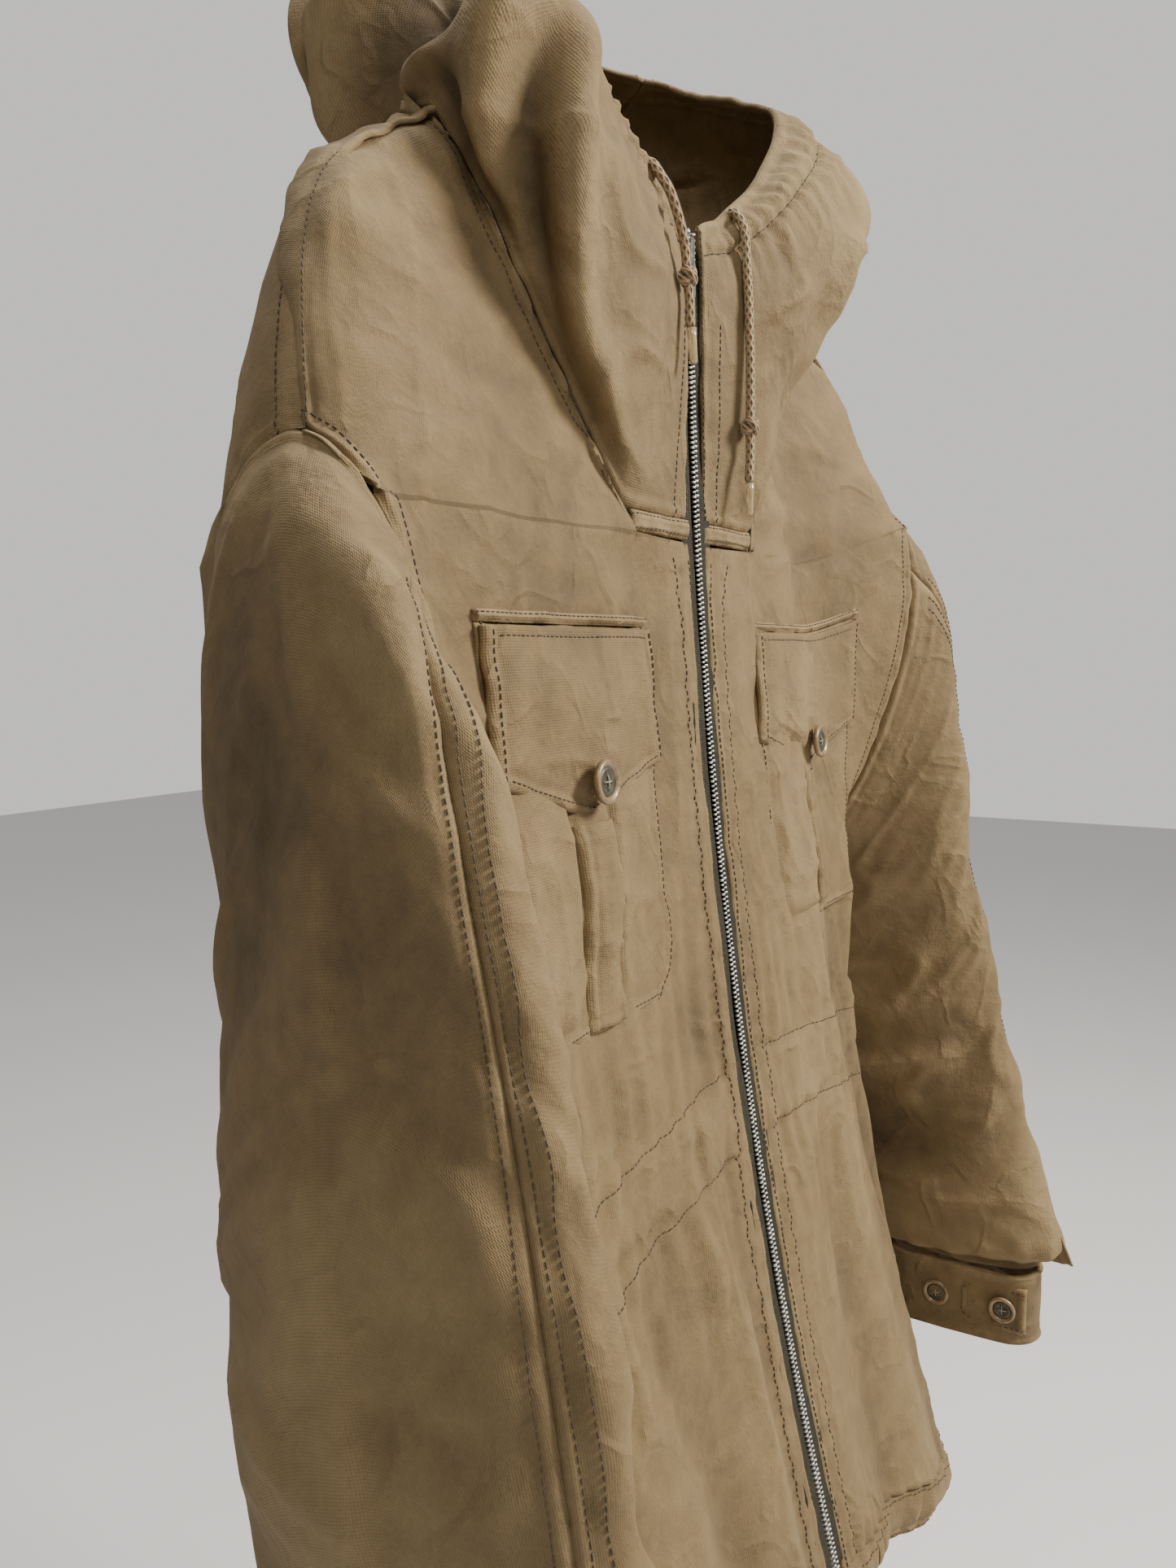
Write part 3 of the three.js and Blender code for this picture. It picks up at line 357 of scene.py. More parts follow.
def normals_of(P, out):
    du, dv = np.gradient(P, axis=1), np.gradient(P, axis=0)
    N = np.cross(du, dv)
    N /= np.maximum(np.linalg.norm(N, axis=-1, keepdims=True), 1e-12)
    middle = N[N.shape[0] // 2, N.shape[1] // 2]
    return N if middle @ np.array(out, float) > 0 else -N


def lengths(P, axis):
    step = np.linalg.norm(np.diff(P, axis=axis), axis=-1)
    pad = [(1, 0), (0, 0)] if axis == 0 else [(0, 0), (1, 0)]
    return np.cumsum(np.pad(step, pad), axis=axis)


def seam_field(P, N, edges, seed):
    """How far each point lies from the panel's sewn edges, and the groove and puckers they make."""
    U, W = lengths(P, 1), lengths(P, 0)
    distance = np.full(P.shape[:2], 1.0)
    for name in edges:
        from_edge = {"left": U, "right": U[:, -1:] - U, "top": W, "bottom": W[-1:] - W}[name]
        distance = np.minimum(distance, from_edge)
    groove = -0.0013 * bell(distance, 0, 0.0018)
    dent = -0.0007 * bell(distance, 0.0065, 0.0016)
    roll = 0.0009 * bell(distance, 0.0035, 0.0022)
    pucker = noise(P, 0.011, seed) * 0.0009 * bell(distance, 0, 0.013) * (distance < 0.9)
    return distance, groove + dent + roll + pucker


def hang(P):
    """The coat hangs a little askew: its far shoulder rides higher and further forward."""
    share = ease(0.150, 0.262, P[..., 0]) * ease(-0.36, -0.145, P[..., 2])
    return P + share[..., None] * (0.020, -0.036, 0.030)


# Each edge's axis, its outermost line, the second line inside that, and the grid without the outermost.
EDGES = {
    "top": (0, np.s_[:1], np.s_[2:3], np.s_[1:]),
    "bottom": (0, np.s_[-1:], np.s_[-3:-2], np.s_[:-1]),
    "left": (1, np.s_[:, :1], np.s_[:, 2:3], np.s_[:, 1:]),
    "right": (1, np.s_[:, -1:], np.s_[:, -3:-2], np.s_[:, :-1]),
}


def widened(A, tuck):
    """A grid with its outermost line doubled along each edge that is tucked."""
    for edge, _, _ in tuck:
        axis, last, _, _ = EDGES[edge]
        A = np.concatenate([A[last], A] if edge in ("top", "left") else [A, A[last]], axis)
    return A


def tucked(face, N, tuck):
    """Draws the doubled lines under the neighbouring panel, as a seam allowance is."""
    for edge, depth, reach in tuck:
        _, last, before, _ = EDGES[edge]
        away = face[last] - face[before]
        away /= np.maximum(np.linalg.norm(away, axis=-1, keepdims=True), 1e-9)
        face[last] += away * reach - N[before] * depth
    return face


def panel(name, P, out, body, relief=None, edges=("left", "right", "top", "bottom"), thick=CLOTH, seed=0,
          material=None, tuck=()):
    """A closed sheet of cloth over grid P. Returns the object and the grid of its finished face."""
    P = hang(P)
    N = normals_of(P, out)
    distance, seam = seam_field(P, N, edges, seed)
    if relief is not None:
        relief = relief * (0.08 + 0.92 * ease(0, 0.018, distance))
    push = seam if relief is None else seam + relief
    face = P + N * push[..., None]
    P, N, push, distance, relief = (A if A is None else widened(A, tuck)
                                    for A in (P, N, push, distance, relief))
    face = tucked(widened(face, tuck), N, tuck)
    fine = normals_of(face, out)
    inner = face - (0.7 * N + 0.3 * fine) * thick
    rows, cols = P.shape[:2]
    index = np.arange(rows * cols).reshape(rows, cols)
    quads = np.stack([index[:-1, :-1], index[:-1, 1:], index[1:, 1:], index[1:, :-1]], -1).reshape(-1, 4)
    half = rows * cols
    ring = np.concatenate([index[0, :], index[1:, -1], index[-1, -2::-1], index[-2:0:-1, 0]])
    after = np.roll(ring, -1)
    rim = np.stack([ring, ring + half, after + half, after], -1)
    faces = np.concatenate([quads, quads[:, ::-1] + half, rim])
    verts = np.concatenate([face.reshape(-1, 3), inner.reshape(-1, 3)])
    a, b, c = (verts[faces[:, k]] for k in (0, 1, 2))
    d = verts[faces[:, 3]]
    volume = np.einsum("ij,ij->", a, np.cross(b, c)) + np.einsum("ij,ij->", a, np.cross(c, d))
    if volume < 0:
        faces = faces[:, ::-1]
    name = name.replace(" ", "-")
    mesh = bpy.data.meshes.new(name)
    mesh.from_pydata(verts.tolist(), [], faces.tolist())
    mesh.shade_smooth()
    U, W = lengths(P, 1), lengths(P, 0)
    uv = np.concatenate([np.stack([U, W], -1).reshape(-1, 2)] * 2)
    loops = np.empty(len(mesh.loops), np.int32)
    mesh.loops.foreach_get("vertex_index", loops)
    mesh.uv_layers.new(name="cloth").data.foreach_set("uv", uv[loops].astype(np.float32).ravel())
    smooth = np.zeros_like(push) if relief is None else relief
    for key, field in (("relief", smooth), ("seam", distance)):
        attribute = mesh.attributes.new(key, "FLOAT", "POINT")
        attribute.data.foreach_set("value", np.tile(field.ravel(), 2).astype(np.float32))
    obj = bpy.data.objects.new(name, mesh)
    bpy.context.collection.objects.link(obj)
    mesh.materials.append(material or cloth_material)
    if body != "blend":
        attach(obj, body or "coat")
    corner = P[:-1, :-1]
    area = float(np.sum(np.linalg.norm(np.cross(P[1:, :-1] - corner, P[:-1, 1:] - corner), axis=-1)))
    width, length = float(U[:, -1].max()), float(W[-1].max())
    obj["flat"] = (width * FOLDED, length * FOLDED, area)
    shown = face + fine * 0.0003
    for edge, _, _ in tuck:
        shown = shown[EDGES[edge][3]]
    return obj, shown


def softened(field, times=1):
    for _ in range(times):
        wide = np.pad(field, 1, "edge")
        field = (wide[:-2, 1:-1] + wide[2:, 1:-1] + wide[1:-1, :-2] + wide[1:-1, 2:] + 4 * field) / 8
    return field


def declare(obj, *nodes, held="hung"):
    width, length, area = obj["flat"]
    min(area, width * length)
    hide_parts(*nodes)
    del obj["flat"]


def stand_for(obj, node):
    """Takes the node's place as a piece that isn't a free sheet."""
    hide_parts(node)
    del obj["flat"]


def middle_of(node):
    return (Vector(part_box(node)[0]) + Vector(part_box(node)[1])) / 2


def stitch(body, line):
    stitch_lines.setdefault(body, []).append(np.asarray(line))


def smoothed(columns, window):
    """Each column of a grid of numbers averaged along its length by a window of odd length."""
    half = len(window) // 2
    return np.stack([np.convolve(np.pad(column, half, "edge"), window, "valid") for column in columns.T], 1)


def inset(face, edge, distance, start=0.0, stop=1.0):
    """The line on a finished face that runs `distance` inside one of its edges."""
    grid = {"left": face, "right": face[:, ::-1], "top": face.swapaxes(0, 1),
            "bottom": face[::-1].swapaxes(0, 1)}[edge]
    run = lengths(grid, 1)
    run = smoothed(run, np.ones(25) / 25)
    rows = range(int(start * (len(grid) - 1)), int(stop * (len(grid) - 1)) + 1)
    return [[np.interp(distance, run[j], grid[j, :, k]) for k in range(3)] for j in rows]


print("cloth tool ready")

# %% [markdown]
# Finishes. Cotton is two crossed sets of threads, seen as a fine bump, over a colour with painted light
# where the cloth stands proud and painted shade in its folds. A little tool writes shader maths plainly.

# %% The shader tool and the cloth finish
class Shade:
    """A socket that can be added to, multiplied and so on, each making one Math node."""

    def __init__(self, tree, socket):
        self.tree, self.socket = tree, socket

    def math(self, operation, *values):
        node = self.tree.nodes.new("ShaderNodeMath")
        node.operation = operation
        for slot, value in zip(node.inputs, (self,) + values):
            put(self.tree, slot, value)
        return Shade(self.tree, node.outputs[0])

    def __add__(self, other): return self.math("ADD", other)
    def __radd__(self, other): return self.math("ADD", other)
    def __sub__(self, other): return self.math("SUBTRACT", other)
    def __rsub__(self, other): return (self * -1.0) + other
    def __mul__(self, other): return self.math("MULTIPLY", other)
    def __rmul__(self, other): return self.math("MULTIPLY", other)

    def node(self, kind, out=0, settings=None, **inputs):
        return make(self.tree, kind, out, settings, **inputs)


def put(tree, slot, value):
    if isinstance(value, Shade):
        tree.links.new(value.socket, slot)
    else:
        slot.default_value = value


def make(tree, kind, out=0, settings=None, **inputs):
    node = tree.nodes.new("ShaderNode" + kind)
    for key, value in (settings or {}).items():
        setattr(node, key, value)
    for key, value in inputs.items():
        put(tree, node.inputs[key.replace("_", " ")], value)
    return Shade(tree, node.outputs[out])


def material(name, roughness=0.6, metallic=0.0, color=None, **sockets):
    mat = bpy.data.materials.new(name)
    mat.use_nodes = True
    tree, shader = mat.node_tree, mat.node_tree.nodes["Principled BSDF"]
    shader.inputs["Metallic"].default_value = metallic
    shader.inputs["Roughness"].default_value = roughness
    if color:
        shader.inputs["Base Color"].default_value = (*color, 1)
    for key, value in sockets.items():
        shader.inputs[key.replace("_", " ")].default_value = value
    return mat, tree, shader


def ramp(tree, factor, *stops):
    node = tree.nodes.new("ShaderNodeValToRGB")
    elements = node.color_ramp.elements
    while len(elements) < len(stops):
        elements.new(0.5)
    for element, (position, color) in zip(elements, stops):
        element.position, element.color = position, (*color, 1)
    put(tree, node.inputs["Fac"], factor)
    return Shade(tree, node.outputs["Color"])


def blend_color(tree, a, b, factor, how="MIX"):
    node = tree.nodes.new("ShaderNodeMix")
    node.data_type, node.blend_type = "RGBA", how
    put(tree, node.inputs["Factor"], factor)
    put(tree, node.inputs[6], a)
    put(tree, node.inputs[7], b)
    return Shade(tree, node.outputs[2])


# The last argument scales the painted light and shade read from the relief, and the lighter wear at the seams.
def cotton(name, low, mid, high, wear_and_fold_shade=1.0):
    mat, tree, shader = material(name, 0.86, Sheen_Weight=0.22, Sheen_Roughness=0.45)
    shader.inputs["Sheen Tint"].default_value = (*high, 1)
    where = make(tree, "TexCoord", 3)
    uv = make(tree, "UVMap", settings={"uv_map": "cloth"})
    relief = make(tree, "Attribute", 2, {"attribute_name": "relief"})
    seam = make(tree, "Attribute", 2, {"attribute_name": "seam"})
    patches = make(tree, "TexNoise", 0, Vector=where, Scale=9.0, Detail=5.0, Roughness=0.6)
    mottle = make(tree, "TexNoise", 0, Vector=where, Scale=70.0, Detail=4.0, Roughness=0.65)
    grain = make(tree, "TexNoise", 0, Vector=where, Scale=900.0, Detail=2.0, Roughness=0.6)
    worn = make(tree, "MapRange", 0, {"clamp": True}, Value=seam, From_Min=0.0, From_Max=0.008,
                To_Min=1.0, To_Max=0.0)
    # Painted light and shade: cloth that stands proud is painted lighter and its folds darker, read from the
    # relief. Near the seams the cloth is lighter from wear.
    ridge = make(tree, "MapRange", 0, {"clamp": True}, Value=relief, From_Min=-0.010, From_Max=0.010,
                 To_Min=-0.16, To_Max=0.16)
    tone = patches * 0.42 + mottle * 0.34 + ridge * wear_and_fold_shade + worn * mottle * 0.30 * wear_and_fold_shade + 0.08
    color = ramp(tree, tone, (0.22, low), (0.47, mid), (0.80, high))
    warp = make(tree, "TexWave", 0, {"wave_type": "BANDS", "bands_direction": "X"}, Vector=uv, Scale=330.0,
                Distortion=0.8, Detail=1.0)
    weft = make(tree, "TexWave", 0, {"wave_type": "BANDS", "bands_direction": "Y"}, Vector=uv, Scale=280.0,
                Distortion=0.8, Detail=1.0)
    threads = warp * 0.5 + weft * 0.5
    shade = make(tree, "MapRange", 0, Value=threads * 0.5 + grain * 0.5, From_Min=0.2, From_Max=0.8,
                 To_Min=0.80, To_Max=1.14)
    tint = make(tree, "CombineColor", 0, Red=shade, Green=shade, Blue=shade)
    put(tree, shader.inputs["Base Color"], blend_color(tree, color, tint, 1.0, "MULTIPLY"))
    put(tree, shader.inputs["Roughness"], mottle * 0.14 + 0.78)
    small = make(tree, "TexNoise", 0, Vector=where, Scale=260.0, Detail=4.0, Roughness=0.6)
    field = make(tree, "TexNoise", 0, Vector=where, Scale=19.0, Detail=2.0, Roughness=0.5, Distortion=0.7)
    crease = (1.0 - (field - 0.5).math("ABSOLUTE") * 13.0).math("MAXIMUM", 0.0)
    height = threads * 0.00022 + grain * 0.00016 + small * 0.0007 + mottle * 0.0014 + crease * mottle * 0.0022
    bump = make(tree, "Bump", 0, Strength=0.75, Distance=1.0, Height=height)
    put(tree, shader.inputs["Normal"], bump)
    return mat


KHAKI = ((0.070, 0.045, 0.018), (0.172, 0.115, 0.050), (0.285, 0.203, 0.098))
cloth_material = cotton("cotton", *KHAKI)
lining_material = cotton("cotton lining",
                         (0.060, 0.041, 0.024), (0.140, 0.098, 0.058), (0.22, 0.16, 0.10), 0.6)
band_material = cotton("cotton band", (0.072, 0.046, 0.019), (0.176, 0.118, 0.052), (0.32, 0.228, 0.114), 1.3)
print("cottons", cloth_material.name, lining_material.name, band_material.name)


# %% Trim finishes
def thread_finish():
    mat, tree, shader = material("thread", 0.7)
    where = make(tree, "TexCoord", 3)
    strands = make(tree, "TexNoise", 0, Vector=where, Scale=120.0, Detail=2.0)
    put(tree, shader.inputs["Base Color"],
        ramp(tree, strands, (0.3, (0.040, 0.027, 0.014)), (0.7, (0.090, 0.062, 0.034))))
    return mat


def tape_finish():
    mat, tree, shader = material("zip tape", 0.9, Specular_IOR_Level=0.2)
    where = make(tree, "TexCoord", 3)
    ribs = make(tree, "TexWave", 0, {"bands_direction": "Z"}, Vector=where, Scale=260.0, Distortion=0.4)
    fuzz = make(tree, "TexNoise", 0, Vector=where, Scale=320.0, Detail=3.0)
    put(tree, shader.inputs["Base Color"], ramp(tree, fuzz * 0.6 + ribs * 0.4,
        (0.25, (0.014, 0.013, 0.009)), (0.8, (0.050, 0.045, 0.030))))
    put(tree, shader.inputs["Normal"],
        make(tree, "Bump", Strength=0.6, Distance=1.0, Height=ribs * 0.0003 + fuzz * 0.0002))
    return mat


def metal_finish(name, low, high, rough, scale=240.0):
    mat, tree, shader = material(name, rough, 1.0)
    where = make(tree, "TexCoord", 3)
    wear = make(tree, "TexNoise", 0, Vector=where, Scale=scale, Detail=5.0, Roughness=0.65)
    put(tree, shader.inputs["Base Color"], ramp(tree, wear, (0.3, low), (0.68, high)))
    put(tree, shader.inputs["Roughness"], wear * 0.3 + (rough - 0.1))
    put(tree, shader.inputs["Normal"], make(tree, "Bump", Strength=0.3, Distance=1.0, Height=wear * 0.0002))
    return mat


def button_finish(name, low, high, coat):
    mat, tree, shader = material(name, 0.42, Coat_Weight=coat, Coat_Roughness=0.22)
    where = make(tree, "TexCoord", 3)
    cloud = make(tree, "TexNoise", 0, Vector=where, Scale=110.0, Detail=6.0, Roughness=0.7, Distortion=1.2)
    put(tree, shader.inputs["Base Color"], ramp(tree, cloud, (0.3, low), (0.7, high)))
    put(tree, shader.inputs["Roughness"], cloud * 0.3 + 0.28)
    return mat


def braid_finish():
    mat, tree, shader = material("braided cord", 0.75, Sheen_Weight=0.3)
    uv = make(tree, "UVMap", settings={"uv_map": "cloth"})
    split = make(tree, "SeparateXYZ", 0, Vector=uv)
    along = Shade(tree, split.socket.node.outputs[1])
    one = (along * 1100.0 + split * 31.4159).math("SINE")
    two = (along * 1100.0 - split * 31.4159).math("SINE")
    weave = one.math("MAXIMUM", two)
    where = make(tree, "TexCoord", 3)
    fuzz = make(tree, "TexNoise", 0, Vector=where, Scale=800.0, Detail=3.0)
    put(tree, shader.inputs["Base Color"], ramp(tree, weave * 0.35 + fuzz * 0.5 + 0.05,
        (0.10, (0.115, 0.075, 0.035)), (0.45, (0.30, 0.195, 0.085)), (0.85, (0.42, 0.29, 0.14))))
    put(tree, shader.inputs["Normal"],
        make(tree, "Bump", Strength=0.9, Distance=1.0, Height=weave * 0.0006 + fuzz * 0.0004))
    return mat


def clear_finish():
    mat, tree, shader = material("clear aglet", 0.16, IOR=1.46, Transmission_Weight=0.72, Coat_Weight=0.5)
    where = make(tree, "TexCoord", 3)
    haze = make(tree, "TexNoise", 0, Vector=where, Scale=260.0, Detail=3.0)
    put(tree, shader.inputs["Base Color"],
        ramp(tree, haze, (0.3, (0.75, 0.60, 0.33)), (0.7, (0.93, 0.84, 0.60))))
    put(tree, shader.inputs["Roughness"], haze * 0.2 + 0.08)
    return mat


thread_material = thread_finish()
tape_material = tape_finish()
teeth_material = metal_finish("aluminium teeth", (0.46, 0.45, 0.42), (0.78, 0.77, 0.74), 0.32)
gunmetal_material = metal_finish("gunmetal", (0.13, 0.12, 0.11), (0.34, 0.32, 0.29), 0.36)
rim_material = button_finish("button rim", (0.13, 0.080, 0.038), (0.34, 0.225, 0.115), 0.6)
face_material = button_finish("button face", (0.022, 0.019, 0.012), (0.085, 0.072, 0.045), 0.35)
braid_material = braid_finish()
aglet_material = clear_finish()
button_thread_material = material("button thread", 0.7, color=(0.27, 0.24, 0.18))[0]
print("trim finishes", len(bpy.data.materials))

# %% [markdown]
# The front. Each panel hangs in long folds that grow towards the hem, and the waist casing gathers
# it. A yoke-high V seam runs from the chest band up to the shoulder's neck end.

# %% The front and back relief
def drape(P, sign, side):
    """Long folds down the cloth, plus cushions and small creases, in metres along the normal."""
    x, z = P[..., 0], P[..., 2]
    low = ease(-0.30, -0.75, z)
    sway = noise(np.stack([x, z * 0.35], -1), 0.16, 3 + side) * 0.03
    long_folds = np.sin((np.abs(x) + sway) * 62 + 1.7 * sign + side) * 0.0058
    fine_folds = np.sin((np.abs(x) + sway * 1.8) * 138 + sign * 2.4) * 0.0016
    pillow = noise(P * (1, 1, 0.45), 0.085, 11 + side) * 0.0040
    small = noise(P * (1, 1, 0.6), 0.030, 21 + side) * 0.0013
    crease = crumple(P * (1, 1, 0.6), 0.052, 31 + side) * 0.0020
    waist = bell(z, WAIST_Z, 0.034)
    beside = bell(z, WAIST_Z, 0.085) * (1 - 0.6 * waist)
    wide = np.sin((np.abs(x) + noise(P[..., [0, 2]], 0.05, 9) * 0.006) * 340) * 0.0016
    gathers = wide * beside + noise(P * (2.1, 1, 0.5), 0.012, 41) * 0.0014 * waist
    lines = sum(-0.0016 * bell(z - WAIST_Z, k * WAIST_HEIGHT / 2, 0.0016) for k in (-1, 1))
    casing = 0.0016 * (np.abs(z - WAIST_Z) < WAIST_HEIGHT / 2)
    far_from_zip = ease(0.012, 0.060, np.abs(x)) if side < 0 else 1.0
    hem = bell(z, hem_z(x), 0.02) * np.sin(np.abs(x) * 520 + noise(P, 0.03, 5) * 3) * 0.0012
    folds = (long_folds * (0.25 + low) + fine_folds * (0.2 + 0.8 * low)) * (1 - 0.75 * waist)
    edge = outer_edge(z, side)[..., 0]
    calm = 0.25 + 0.75 * ease(1.0, 0.88, np.abs(x) / edge)
    on = (z < YOKE_Z - 0.004)
    return (folds + pillow + small + crease) * far_from_zip * calm + (gathers + lines + casing + hem) * on


def zip_puckers(P, sign):
    """Short level puckers beside the zip, between its two lines of stitches."""
    x, z = np.abs(P[..., 0]), P[..., 2]
    run = z + noise(P, 0.03, 51 + sign) * 0.006
    band = bell(x, 0.022, 0.009)
    wave = np.sin(run * 2 * math.pi / 0.0105 + sign) * 0.0008
    lines = -0.0008 * bell(x, 0.026, 0.0026)
    welt = 0.0016 * ease(0.031, 0.021, x)
    return wave * band + lines + welt


def flip(P, sign):
    return P * (sign, 1, 1)


# %% The front panels
front_feet = {}
SHOULDER_ROWS, FRONT_ROWS, FRONT_COLS, BAND_COLS = 44, 176, 98, 36
for sign, name in SIDES:
    outer = spread(np.linspace(0, 1, FRONT_COLS - BAND_COLS))
    across_top = np.concatenate([np.linspace(0, 0.5, BAND_COLS, endpoint=False) * outer[1], outer])
    high = upper_front(across_top[None, :] * 0.998, np.linspace(0.0, 1, SHOULDER_ROWS)[:, None])
    k = np.linspace(0, 1, FRONT_ROWS)[:, None]
    s = across_top[None, :]
    z = mix(YOKE_Z - 0.002, hem_z(outer_edge(np.full(s.shape, BACK_HEM_Z), -1)[..., 0] * s), k)
    edge = outer_edge(z, -1)[..., 0]
    inner = mix(ZIP_SLOT, BAND_HALF, np.linspace(0, 1, BAND_COLS, endpoint=False))[None, :] + 0 * k
    x = np.concatenate([inner, mix(BAND_HALF, edge[:, BAND_COLS:], outer[None, :])], 1)
    z = mix(YOKE_Z - 0.002, hem_z(x), k)
    low = front(x, z)
    whole = np.concatenate([high, low])
    near_yoke = bell(whole[..., 2], YOKE_Z, 0.070) * ease(0.0, 0.03, whole[..., 0] - BAND_HALF)
    window = np.hanning(45) / np.hanning(45).sum()
    inside_edge = ease(0.998, 0.93, np.linspace(0, 1, FRONT_COLS))[None, :]
    whole[..., 1] = mix(whole[..., 1], smoothed(whole[..., 1], window), near_yoke * inside_edge)
    whole = flip(whole, sign)
    upper = ease(YOKE_Z - 0.05, YOKE_Z + 0.01, whole[..., 2])
    across = (noise(whole * (0.5, 1, 1.6), 0.025, 75) * 0.0014
              + crumple(whole * (1, 1, 0.7), 0.05, 77 + sign) * 0.0016) * upper
    relief = drape(whole, sign, -1) + across + zip_puckers(whole, sign) * (whole[..., 2] < YOKE_Z)
    front_panel, face = panel(f"front panel {name}", whole, (0, -1, 0), None, seed=60 + sign, relief=relief,
                              edges=("left", "top", "right"), tuck=(("top", 0.002, 0.010),))
    front_feet[name] = face[-1]
    declare(front_panel, f"front_panel_{name}", f"waist_casing_{name}")
    step = (SHOULDER_ROWS + 1) / (SHOULDER_ROWS + FRONT_ROWS - 1)
    for distance in (0.0045, 0.0135):
        stitch("coat", inset(face, "left", distance, 0, step - 0.02))
    for distance in (0.0035, 0.0165):
        stitch("coat", inset(face, "left", distance, step + 0.01, 1))
    stitch("coat", inset(face, "top", 0.006))
    stitch("coat", inset(face, "right", 0.010, 0, 0.45))
    for side in (-1, 1):
        row = SHOULDER_ROWS + np.argmin(np.abs(low[:, 20, 2] - (WAIST_Z + side * WAIST_HEIGHT / 2)))
        stitch("coat", face[row, 12:-2])
print("front panels", whole.shape)

# %% The back panel
BACK_ROWS, BACK_COLS = 170, 150


def both_sides(P, u):
    """Gives a grid made for the left side the sign of u, so that it spans both sides."""
    return P * stack(np.sign(u)[None, :] + (u == 0), 1, 1)


u = np.linspace(-0.998, 0.998, BACK_COLS)
high = both_sides(upper_back(np.abs(u)[None, :], np.linspace(0.0, 1, SHOULDER_ROWS)[:, None]), u)
z = mix(YOKE_Z, BACK_HEM_Z, np.linspace(0, 1, BACK_ROWS))[:, None]
share = np.sign(u) * mix(np.abs(u), spread(np.abs(u)), 0.7)
low = back(outer_edge(z + 0 * u, 1)[..., 0] * share, z + 0 * u)
low[0] = high[-1]
low[1:6] = mix(high[-1][None], low[1:6], (np.arange(1, 6) / 6)[:, None, None])
whole = np.concatenate([high, low[1:]])
back_relief = drape(whole, 1, 1) * ease(YOKE_Z + 0.02, YOKE_Z - 0.06, whole[..., 2])
back_relief = back_relief + noise(whole, 0.07, 81) * 0.002 + crumple(whole * (1, 1, 0.7), 0.06, 83) * 0.0016
back_relief = back_relief * ease(0.0, 0.05, lengths(whole, 0))
back_panel, back_face = panel("back panel", whole, (0, 1, 0), None, relief=back_relief, seed=66,
                              tuck=(("top", 0.003, 0.008), ("left", 0.003, 0.008), ("right", 0.003, 0.008)))
declare(back_panel, "back_panel", "waist_casing_back")
stitch("coat", inset(back_face, "top", 0.007))
for k in (-1, 1):
    row = np.argmin(np.abs(whole[:, BACK_COLS // 2, 2] - (WAIST_Z + k * WAIST_HEIGHT / 2)))
    stitch("coat", back_face[row])
print("back panel", whole.shape)

# %% [markdown]
# The hood is gathered along its rim channel and slumps in soft billows. Its two sides and its crown
# share one relief, read from the same field, so the seams between them stay closed.

# %% The hood
HOOD_ROWS, SIDE_COLS, CROWN_COLS = 84, 92, 70


def hood_relief(P, a, b):
    k = np.minimum(a, 1 - a)[None, :] * LAST_COLUMN
    rise = b[:, None]
    near = (a > 0.5)[None, :]
    billow = noise(P, 0.085, 91) * 0.0085 + noise(P, 0.036, 93) * 0.0030
    crease = crumple(P, 0.06, 95, 1.2) * 0.0042
    rim = ease(0.62, 0.88, rise)
    gathers = np.sin(a[None, :] * 420 + noise(P, 0.03, 97) * 2.5) * 0.0013 * rim
    channel = 0.0022 * ease(RIM_FROM - 0.01, RIM_FROM + 0.01, rise)
    line = -0.0026 * bell(rise, RIM_FROM, 0.011)
    ripples = noise(P * (1, 1, 0.5), 0.013, 99) * 0.0010 * ease(0.35, 0.0, rise)

    def fold(at, lean, width, depth, low, high):
        """A fold that starts at column `at` on the seam and leans as it rises."""
        middle = at + lean * rise
        body = bell(k, middle, width) - 0.9 * bell(k - middle, 1.7 * width, width)
        return depth * body * ease(low - 0.08, low + 0.08, rise) * ease(high + 0.1, high - 0.1, rise)

    hooks = fold(1.55, 1.3, 0.26, 0.010, 0.10, 0.62) + fold(2.35, 0.9, 0.24, 0.012, 0.08, 0.70)
    hooks = hooks + fold(3.1, -0.6, 0.30, 0.013, 0.12, 0.60) + fold(4.1, 0.5, 0.34, 0.010, 0.12, 0.70)
    hooks = hooks + fold(5.0, -0.4, 0.30, 0.010, 0.10, 0.75)
    flat_front = ease(0.25, 1.5, k)
    foot = ease(0.0, 0.14, rise)
    shape = (billow + crease + hooks * np.where(near, 1.5, 0.9)) * foot
    shape = shape * (0.10 + 0.90 * flat_front) * (1 - 0.6 * rim)
    return shape + (gathers + channel + line) * ease(0.1, 0.8, k) + ripples


def hood_piece(name, start, stop, count, out, seed, *nodes):
    a, b = np.linspace(start, stop, count), np.linspace(0.0, 1.0, HOOD_ROWS)
    P = hood(a, b)
    obj, face = panel(name, P, out, None, relief=hood_relief(P, a, b), seed=seed, thick=0.0030,
                      tuck=(("top", 0.004, 0.014),))
    declare(obj, *nodes)
    return face


left = hood_piece("hood side left", 0.0, CROWN_FROM, SIDE_COLS, (1, -1, 0), 101, "hood_side_left", "hood_rim_left")
crown = hood_piece("hood crown", CROWN_FROM, 1 - CROWN_FROM, CROWN_COLS, (0, 1, 0), 103, "hood_crown",
                   "hood_rim_right")
right = hood_piece("hood side right", 1 - CROWN_FROM, 1.0, SIDE_COLS, (-1, -1, 0), 105, "hood_side_right")
for face, seam_side in ((left, "right"), (right, "left"), (crown, "left"), (crown, "right")):
    rim_row = int(RIM_FROM * (HOOD_ROWS - 1))
    if face is not crown or seam_side == "left":
        stitch("coat", face[rim_row])
    stitch("coat", inset(face, seam_side, 0.006))
for face, zip_side in ((left, "left"), (right, "right")):
    stitch("coat", inset(face, zip_side, 0.0035))
    stitch("coat", inset(face, zip_side, 0.0165, 0, 0.6))
